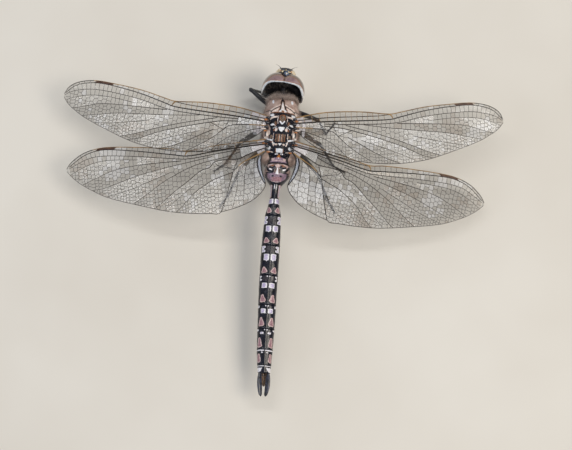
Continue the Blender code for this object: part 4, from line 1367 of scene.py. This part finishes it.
def make_face(around_skull, material):
    """The face's plates, each cut clear of those before it, and the tubercle on the brow."""
    around = [around_skull]
    for name, *shape in FACE_PIECES:
        piece = face_plate(*shape)
        carve(piece, around)
        around.append(face_plate(*shape, grow=0.03, segments=40, rings=24))
        paint(piece, FACE_TONES, face_marks(name, head_points(piece)))
        smooth(piece)
        stands_for(piece, name + "_plate", material, "face_cream", name)
    vertex = rounded(*VERTEX, segments=40, rings=24)
    carve(vertex, around)
    points = head_points(vertex)
    side = np.hypot(points[:, 0] + 0.25, points[:, 1] + 1.55)
    paint(vertex, FACE_TONES, {"blue": [side - 0.12], "black": [side - 0.42]})
    smooth(vertex)
    stands_for(vertex, "vertex_tubercle", material, "face_cream", "vertex")
    discard(around[1:])


def make_feelers(material):
    """Each feeler is two stout joints and a bristle of five fine ones, a little thicker at
    every joint."""
    rows = [(i / (len(ANTENNA) - 1), *point) for i, point in enumerate(ANTENNA)]
    steps = 28
    for side, word in ((1, "left"), (-1, "right")):
        feeler, points, radii = Strand(), [], []
        for k in range(steps + 1):
            share = k / steps
            x, back, up = between(rows, share)
            points.append(in_head(side * x, back, up))
            stout = 0.12 if share < 0.2 else 0.08 if share < 0.34 else 0.04 * (1.2 - share)
            radii.append((stout + 0.01 * (k % 4 == 0)) * MM)
        feeler.rod(points, radii, 10, UPWARDS)
        feeler.piece("feeler_" + word, material, "black_shell", "antenna_" + word)


def make_ocelli(material):
    """Three small clear lenses on the brow."""
    lenses = joined([rounded(centre, (size, size, size * 0.8), segments=20, rings=12)
                     for centre, size in OCELLI])
    smooth(lenses)
    stands_for(lenses, "ocelli", material, "eye_brown", "vertex")


def hollow_slice(points):
    """Radius and half width of the hollow at the height of each point, in mm, and how far it
    has opened to the sides there."""
    share = np.sqrt(np.clip(1 - (points[:, 2] / HOLLOW_RADIUS) ** 2, 1e-6, 1))
    start, length, more = HOLLOW_OPENS
    opened = 1 + more * np.clip((points[:, 1] - start) / length, 0, 1)
    return HOLLOW_RADIUS * share, HOLLOW_HALF * share ** 0.3, opened


def squared(hollow):
    """Straightens the rim of the hollow across the head and opens it to the sides at the back."""
    points = head_points(hollow)
    radius, half, _ = hollow_slice(points)
    along, across = (points[:, 1] - HOLLOW_BACK) / radius, points[:, 0] / radius
    points[:, 1] = HOLLOW_BACK + np.sign(along) * np.abs(along) ** (2 / 3) * radius
    points[:, 0] = np.sign(across) * np.abs(across) ** (2 / 3) * half * hollow_slice(points)[2]
    points[:, 0] += 0.002     # off the head's middle plane, which keeps both cuts clean
    move_in_head(hollow, points)


def outside_hollow(points):
    """How far points in the head's frame lie outside the hollow, in mm."""
    radius, half, opened = hollow_slice(points)
    across = np.abs(points[:, 0]) / opened / half
    return ((across ** 3 + np.abs((points[:, 1] - HOLLOW_BACK) / radius) ** 3) ** (1 / 3) - 1) * radius


def make_head(looks):
    hollow = rounded(*REAR_HOLLOW, segments=128, rings=64)
    squared(hollow)
    opening = rounded(*FACE_OPENING)
    around_skull = rounded(*SKULL, grow=0.02)
    skull = rounded(*SKULL, segments=80, rings=50)
    carve(skull, [hollow])
    smooth(skull)
    stands_for(skull, "skull_plate", looks["black"], "black_shell", "head")
    face_cutters = [face_plate(*shape, grow=0.05) for _, *shape in FACE_PIECES]
    make_eyes([around_skull, hollow, opening, *face_cutters], looks["eye"])
    make_face(around_skull, looks["face"])
    make_feelers(looks["black"])
    make_ocelli(looks["ocellus"])
    discard([hollow, opening, around_skull, *face_cutters])
    neck = ringed_tube(place(0, NECK_FRONT, NECK_Z), place(0, NECK_BACK, NECK_Z), NECK_RADIUS, 40, 24)
    points = points_of(neck)
    folds = 1 + 0.12 * np.sin(points[:, 1] * 14)
    points[:, 0] *= folds
    points[:, 2] = NECK_Z + (points[:, 2] - NECK_Z) * folds
    move_points(neck, points)
    smooth(neck)
    stands_for(neck, "neck_folds", looks["black"], "black_shell", "neck")
    return skull


# ---------------------------------------------------------------- legs
# joints of each leg, x outwards: hip, end of coxa, knee, and ankle and toe on the floor
LEGS = {
    ("fore", "left"): ((1.2, 4.9, 5.3), (2.0, 6.0, 4.4), (6.6, 9.3, 5.3), (2.7, 9.9), (1.5, 12.4)),
    ("fore", "right"): ((1.2, 4.9, 5.3), (2.2, 5.7, 4.4), (7.2, 3.7, 5.8), (8.9, 2.6), (10.6, 5.0)),
    ("mid", "left"): ((1.3, 2.1, 4.9), (2.5, 2.7, 3.9), (7.7, -1.7, 5.6), (10.4, -4.7), (12.6, -6.5)),
    ("mid", "right"): ((1.3, 2.1, 4.9), (2.5, 2.3, 3.9), (7.9, -1.2, 5.6), (10.6, -3.7), (13.1, -5.0)),
    ("hind", "left"): ((1.3, -1.0, 5.0), (2.5, -1.4, 3.9), (7.4, -7.2, 5.8), (9.6, -11.4), (10.9, -13.6)),
    ("hind", "right"): ((1.3, -1.0, 5.0), (2.5, -1.4, 3.9), (7.6, -7.0, 5.7), (10.1, -10.9), (11.6, -13.2)),
}
# thickness of each length as (share of the way, radius)
LIMBS = {
    "coxa": ((0, 0.85), (0.35, 0.95), (0.7, 0.62), (0.85, 0.7), (1, 0.5)),
    "femur": ((0, 0.36), (0.12, 0.44), (0.5, 0.5), (0.85, 0.38), (0.95, 0.42), (1, 0.3)),
    "tibia": ((0, 0.32), (0.08, 0.24), (0.5, 0.25), (0.9, 0.22), (0.97, 0.27), (1, 0.2)),
    "tarsus": ((0, 0.17), (0.1, 0.2), (0.24, 0.14), (0.34, 0.21), (0.52, 0.15), (0.62, 0.18),
               (0.9, 0.15), (1, 0.19)),
}
SPINES = {"femur": (9, 0.3, 0.35), "tibia": (8, 0.75, 0.5)}     # pairs, length, lean towards the foot
SOLE = 0.21                    # height of a foot's axis above the floor
SPINE_RADII = (0.045 * MM, 0.03 * MM, 0.008 * MM)
TOOTH_RADII = (0.035 * MM, 0.008 * MM)


def add_spines(spines, start, end, limb):
    """Two rows of spines under a limb, each a fine curved cone."""
    pairs, length, lean = SPINES[limb]
    way = (end - start).normalized()
    across = way.cross(UPWARDS).normalized()
    under = across.cross(way)
    if under.z > 0:
        under = -under
    chance = random.Random(limb + str(pairs))
    for k in range(pairs):
        for side in (-1, 1):
            share = (k + 0.9 + 0.25 * side) / (pairs + 0.8)
            out = (under * 0.75 + across * side * 0.8).normalized()
            root = start.lerp(end, share) + out * 0.17 * MM
            long = length * (0.75 + 0.4 * math.sin(math.pi * share)) * chance.uniform(0.85, 1.15) * MM
            points = [root, root + (out + way * lean) * long * 0.5, root + (out + way * lean * 1.8) * long]
            points = [Vector((p.x, p.y, max(p.z, 0.03 * MM))) for p in points]
            spines.rod(points, SPINE_RADII, 5, across)


def add_claws(claws, ankle, toe):
    """A pair of hooked claws, each with its small inner tooth."""
    way = (toe - ankle).normalized()
    across = way.cross(UPWARDS).normalized()
    steps = 6
    for side in (-1, 1):
        points, radii = [], []
        for k in range(steps + 1):
            share = k / steps
            rise = 0.18 * math.sin(math.pi * share) - 0.16 * share
            along, aside = 0.62 * share - 0.25, side * (0.06 + 0.3 * share)
            points.append(toe + (way * along + across * aside + UPWARDS * rise) * MM)
            radii.append(0.07 * (1 - share * 0.85) * MM)
        claws.rod(points, radii, 6, across)
        root = points[steps // 2]
        tip = root + (way * 0.12 - across * side * 0.1 - UPWARDS * 0.1) * MM
        claws.rod([root, tip], TOOTH_RADII, 5, across)


def make_leg(pair, word, looks):
    """The four lengths of a leg, the middle two with spines, and its claws."""
    side = 1 if word == "left" else -1
    hip, coxa_end, knee, ankle, toe = LEGS[pair, word]
    joints = [place(side * x, f, z) for x, f, z in (hip, coxa_end, knee)]
    joints += [place(side * x, f, SOLE) for x, f in (ankle, toe)]
    leg = f"{pair}leg_{word}"
    for limb, start, end in zip(LIMBS, joints, joints[1:]):
        way = (end - start).normalized()
        reach = 0.12 * MM if limb in SPINES else 0.02 * MM
        tube = ringed_tube(start - way * reach, end + way * reach, 1.0, 24, 40)
        length = (end - start).length + 2 * reach
        for vert in tube.data.vertices:
            share = (vert.co - start + way * reach).dot(way) / length
            centre = start - way * reach + way * share * length
            cap = math.sqrt(max(min(share, 1 - share) * length / (0.2 * MM), 0.0))
            radius = between(LIMBS[limb], share) * min(0.45 + 0.55 * cap, 1.0)
            vert.co = centre + (vert.co - centre) * radius
            vert.co.z = max(vert.co.z, 0.0)
        smooth(tube)
        if limb in SPINES:
            spines = Strand()
            add_spines(spines, start, end, limb)
            joined([from_faces("spines", spines.verts, spines.faces), tube])
        stands_for(tube, f"{leg}_{limb}_shell", looks["leg"], "black_shell", f"{leg}_{limb}")
    claws = Strand()
    add_claws(claws, joints[3], joints[4])
    claws.piece(leg + "_claws", looks["claw"], "black_shell", leg + "_tarsus")


# ---------------------------------------------------------------- hairs
HAIR_TOP = CAD_BOX[1].z * 1.015
STRAY = 0.35                   # how far a hair strays from its coat's way, of its length
TUFT = 3                       # hairs in a tuft
HAIR_POINTS = 7                # of one hair: two rings of three and the tip


def roots(skin, chance, tries, wanted):
    """Random places on a skin with the way it faces there, where hair is wanted, each with its
    place on an unwrap of the skin round its long axis."""
    mesh = skin.data
    mesh.calc_loop_triangles()
    corners = [tuple(triangle.vertices) for triangle in mesh.loop_triangles]
    reach = np.cumsum([triangle.area for triangle in mesh.loop_triangles])
    low, high = box_of(skin)
    for _ in range(tries):
        pick_at = int(np.searchsorted(reach, chance.uniform(0, reach[-1])))
        a, b, c = (mesh.vertices[k] for k in corners[min(pick_at, len(corners) - 1)])
        u, v = chance.random(), chance.random()
        if u + v > 1:
            u, v = 1 - u, 1 - v
        root = a.co + (b.co - a.co) * u + (c.co - a.co) * v
        normal = (a.normal * (1 - u - v) + b.normal * u + c.normal * v).normalized()
        x, f, z = on_animal(root)[0]
        if chance.random() > wanted(x, f, z, normal):
            continue
        angle = math.atan2(root.z - (low.z + high.z) / 2, root.x - (low.x + high.x) / 2)
        yield root, normal, (angle / (2 * math.pi) + 0.5, (root.y - low.y) / (high.y - low.y))


def add_hair(verts, faces, base, middle, tip, across, over, thick):
    """One curved hair: two rings of three points and a tip."""
    first = len(verts)
    for centre, radius in ((base, thick), (middle, thick * 0.75)):
        for k in range(3):
            turn = 2 * math.pi * k / 3
            verts.append(centre + (across * math.cos(turn) + over * math.sin(turn)) * radius * MM)
    verts.append(tip)
    rows = [(first + k, first + (k + 1) % 3) for k in range(3)]
    faces.append((first, first + 2, first + 1))
    faces += [(one, two, two + 3, one + 3) for one, two in rows]
    faces += [(one + 3, two + 3, first + 6) for one, two in rows]


def hair_coat(name, skin, tufts, length, thick, stand, lie, wanted, material):
    """Tufts of curved hairs over part of a skin. `lie` is the way they lean, as (x, f, z), and
    `stand` how upright they are. The UV map gives each tuft a small patch at its root's place."""
    chance = random.Random(name)
    lean = Vector((lie[0], -lie[1], lie[2]))
    verts, faces, patches = [], [], []
    for root, normal, patch in roots(skin, chance, tufts * 40, wanted):
        for _ in range(TUFT):
            sway = Vector([chance.uniform(-STRAY, STRAY) for _ in range(3)])
            way = (normal * stand + lean * (1 - stand) + sway).normalized()
            long = length * chance.uniform(0.6, 1.15) * MM
            rise = (way.z + lean.z * 0.2 + 0.07) * long
            if root.z + rise > HAIR_TOP:
                long *= max((HAIR_TOP - root.z) / rise, 0.25)
            across = way.cross(normal + sway * 0.1).normalized()
            middle = root + way * long * 0.5 + (lean + sway) * long * 0.06
            tip = root + way * long + (lean + sway) * long * 0.2
            base = root - normal * 0.03 * MM
            add_hair(verts, faces, base, middle, tip, across, way.cross(across), thick)
            patches.append(patch)
        if len(patches) == tufts * TUFT:
            break
    thing = from_faces(name, verts, faces, sharp=180)
    layer = thing.data.uv_layers.new(name="OFBake")
    for loop in thing.data.loops:
        patch, corner = patches[loop.vertex_index // HAIR_POINTS], loop.vertex_index % HAIR_POINTS
        spread = (0.0, 0.003, 0.0015)[corner % 3], (0.0, 0.0015, 0.003)[corner // 3]
        layer.data[loop.index].uv = (patch[0] + spread[0], patch[1] + spread[1])
    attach(thing, "root")
    thing.data.materials.append(material)
    return thing


def box_of(thing):
    corners = np.array([vertex.co for vertex in thing.data.vertices])
    return Vector(corners.min(0)), Vector(corners.max(0))


def hair(name, one, two):
    """Fine insect hair: translucent chitin, so bright along its length where light catches."""
    return painted(name, 0.45, (0.2, one, two))[0]


def make_hairs(body, collar, skull):
    """Hairs fewer and a little thicker than life, so that they show."""
    down = hair("thorax_down", "#98837A", "#CFC0B6")
    grey = hair("grey_down", "#6E635C", "#B9AEA4")
    black = hair("black_bristle", "#100F12", "#322E2E")

    def on_body(x, f, z, normal):
        front = fade(f, 4.6, 5.8)
        low = fade(-normal.z, -0.35, 0.3)
        clear_spot = abs(abs(x) - 1.83) < 0.4 and abs(f - 4.95) < 0.75
        return 0.0 if clear_spot else max(0.06, front * 0.8, 0.6 * low) * (1.0 - 0.9 * (abs(x) < 0.3))

    hair_coat("down_on_thorax", body, 2600, 0.7, 0.014, 0.5, (0, -0.7, 0.1), on_body, down)
    hair_coat("fringe_on_thorax", body, 1300, 0.95, 0.014, 0.6, (0, 0.7, 0.15),
              lambda x, f, z, normal: float(f > 5.3), down)
    hair_coat("down_on_collar", collar, 170, 0.7, 0.012, 0.7, (0, 0.5, 0.2),
              lambda x, f, z, normal: 1.0, grey)
    hair_coat("bristles_on_skull", skull, 420, 0.75, 0.018, 0.8, (0, -0.6, 0.2),
              lambda x, f, z, normal: float(normal.y > 0.2 and z > 9.6), black)
    hair_coat("down_on_skull", skull, 110, 0.6, 0.012, 0.8, (0, -0.6, 0.2),
              lambda x, f, z, normal: float(normal.y > 0.2 and z > 10.2), grey)


# ---------------------------------------------------------------- camera, light and floor
FLOOR_SIZE = 3.0               # in metres, as the camera's place is
CAMERA_AT = Vector((-0.002111, 0.093412, 0.400948))
VIEW_TILT, VIEW_ROLL = math.radians(13.5), math.radians(3.8)
LENS, SENSOR = 132.67, 36.0    # the camera's focal length and film width
# name, place, width and height in metres, power in watts and colour
LAMPS = (
    ("key", (-0.3, 0.1, 0.5), (0.25, 0.25), 1.7, "#FFF6E8"),
    ("fill", (0.45, 0.25, 0.35), (0.4, 0.4), 0.8, "#E8F0FF"),
    ("strip", (0.0, -0.13, 0.5), (0.5, 0.05), 1.0, "#FFFFFF"),
)


def make_camera():
    camera = bpy.data.cameras.new("camera")
    camera.lens, camera.sensor_width, camera.clip_start = LENS, SENSOR, 0.01
    thing = bpy.data.objects.new("camera", camera)
    bpy.context.scene.collection.objects.link(thing)
    look = Vector((0, -math.sin(VIEW_TILT), -math.cos(VIEW_TILT)))
    level = Vector((-1, 0, 0))
    upright = Vector((0, -math.cos(VIEW_TILT), math.sin(VIEW_TILT)))
    right = level * math.cos(VIEW_ROLL) + upright * math.sin(VIEW_ROLL)
    up = -level * math.sin(VIEW_ROLL) + upright * math.cos(VIEW_ROLL)
    turn = Matrix((right, up, -look)).transposed().to_4x4()
    thing.matrix_world = Matrix.Translation(CAMERA_AT) @ turn
    bpy.context.scene.camera = thing


def add_lamp(name, at, size, power, colour):
    """A soft lamp turned towards the middle of the floor."""
    lamp = bpy.data.lights.new(name, "AREA")
    lamp.shape, lamp.energy = "RECTANGLE", power
    lamp.size, lamp.size_y = size
    lamp.color = linear(colour)[:3]
    thing = bpy.data.objects.new(name, lamp)
    bpy.context.scene.collection.objects.link(thing)
    thing.location = at
    thing.rotation_euler = Vector(at).to_track_quat("Z", "Y").to_euler()


def make_studio():
    deselect()
    bpy.ops.mesh.primitive_plane_add(size=FLOOR_SIZE, location=(0, 0, 0))
    floor = bpy.context.object
    floor.name = "floor"
    floor.data.materials.append(painted("pale_card", 0.9, (40.0, "#D9D4CB", "#E0DCD4"))[0])
    world = bpy.data.worlds.new("studio")
    world.use_nodes = True
    world.node_tree.nodes["Background"].inputs["Color"].default_value = linear("#D8DCE2")
    world.node_tree.nodes["Background"].inputs["Strength"].default_value = 0.3
    bpy.context.scene.world = world
    bpy.context.scene.view_settings.view_transform = "Standard"
    for lamp in LAMPS:
        add_lamp(*lamp)


# ---------------------------------------------------------------- build
def build():
    looks = {
        "black": shell("black_chitin", "#0E0E12", "#23222A", 0.32, 0.5, 0.3),
        "eye": eye_lens(),
        "face": face_cuticle(),
        "ocellus": shell("ocellus_lens", "#B8A26E", "#D8C894", 0.12, 0.3, 1.0),
        "leg": shell("leg_chitin", "#0C0D14", "#20222C", 0.34, 0.6, 0.2),
        "claw": shell("claw_chitin", "#2A1A12", "#5A3A22", 0.3, 0.3, 0.2),
    }
    make_abdomen(abdomen_cuticle())
    make_claspers(shell("clasper_chitin", "#15161C", "#34384A", 0.3, 0.5, 0.3),
                  shell("lower_clasper_chitin", "#2E2320", "#8A6A4E", 0.35, 0.35, 0.2))
    downy = thorax_cuticle()
    body, collar = make_thorax(downy), make_collar(downy)
    skull = make_head(looks)
    for pair, word in LEGS:
        make_leg(pair, word, looks)
    make_hairs(body, collar, skull)
    make_wings()


build()
make_camera()
make_studio()
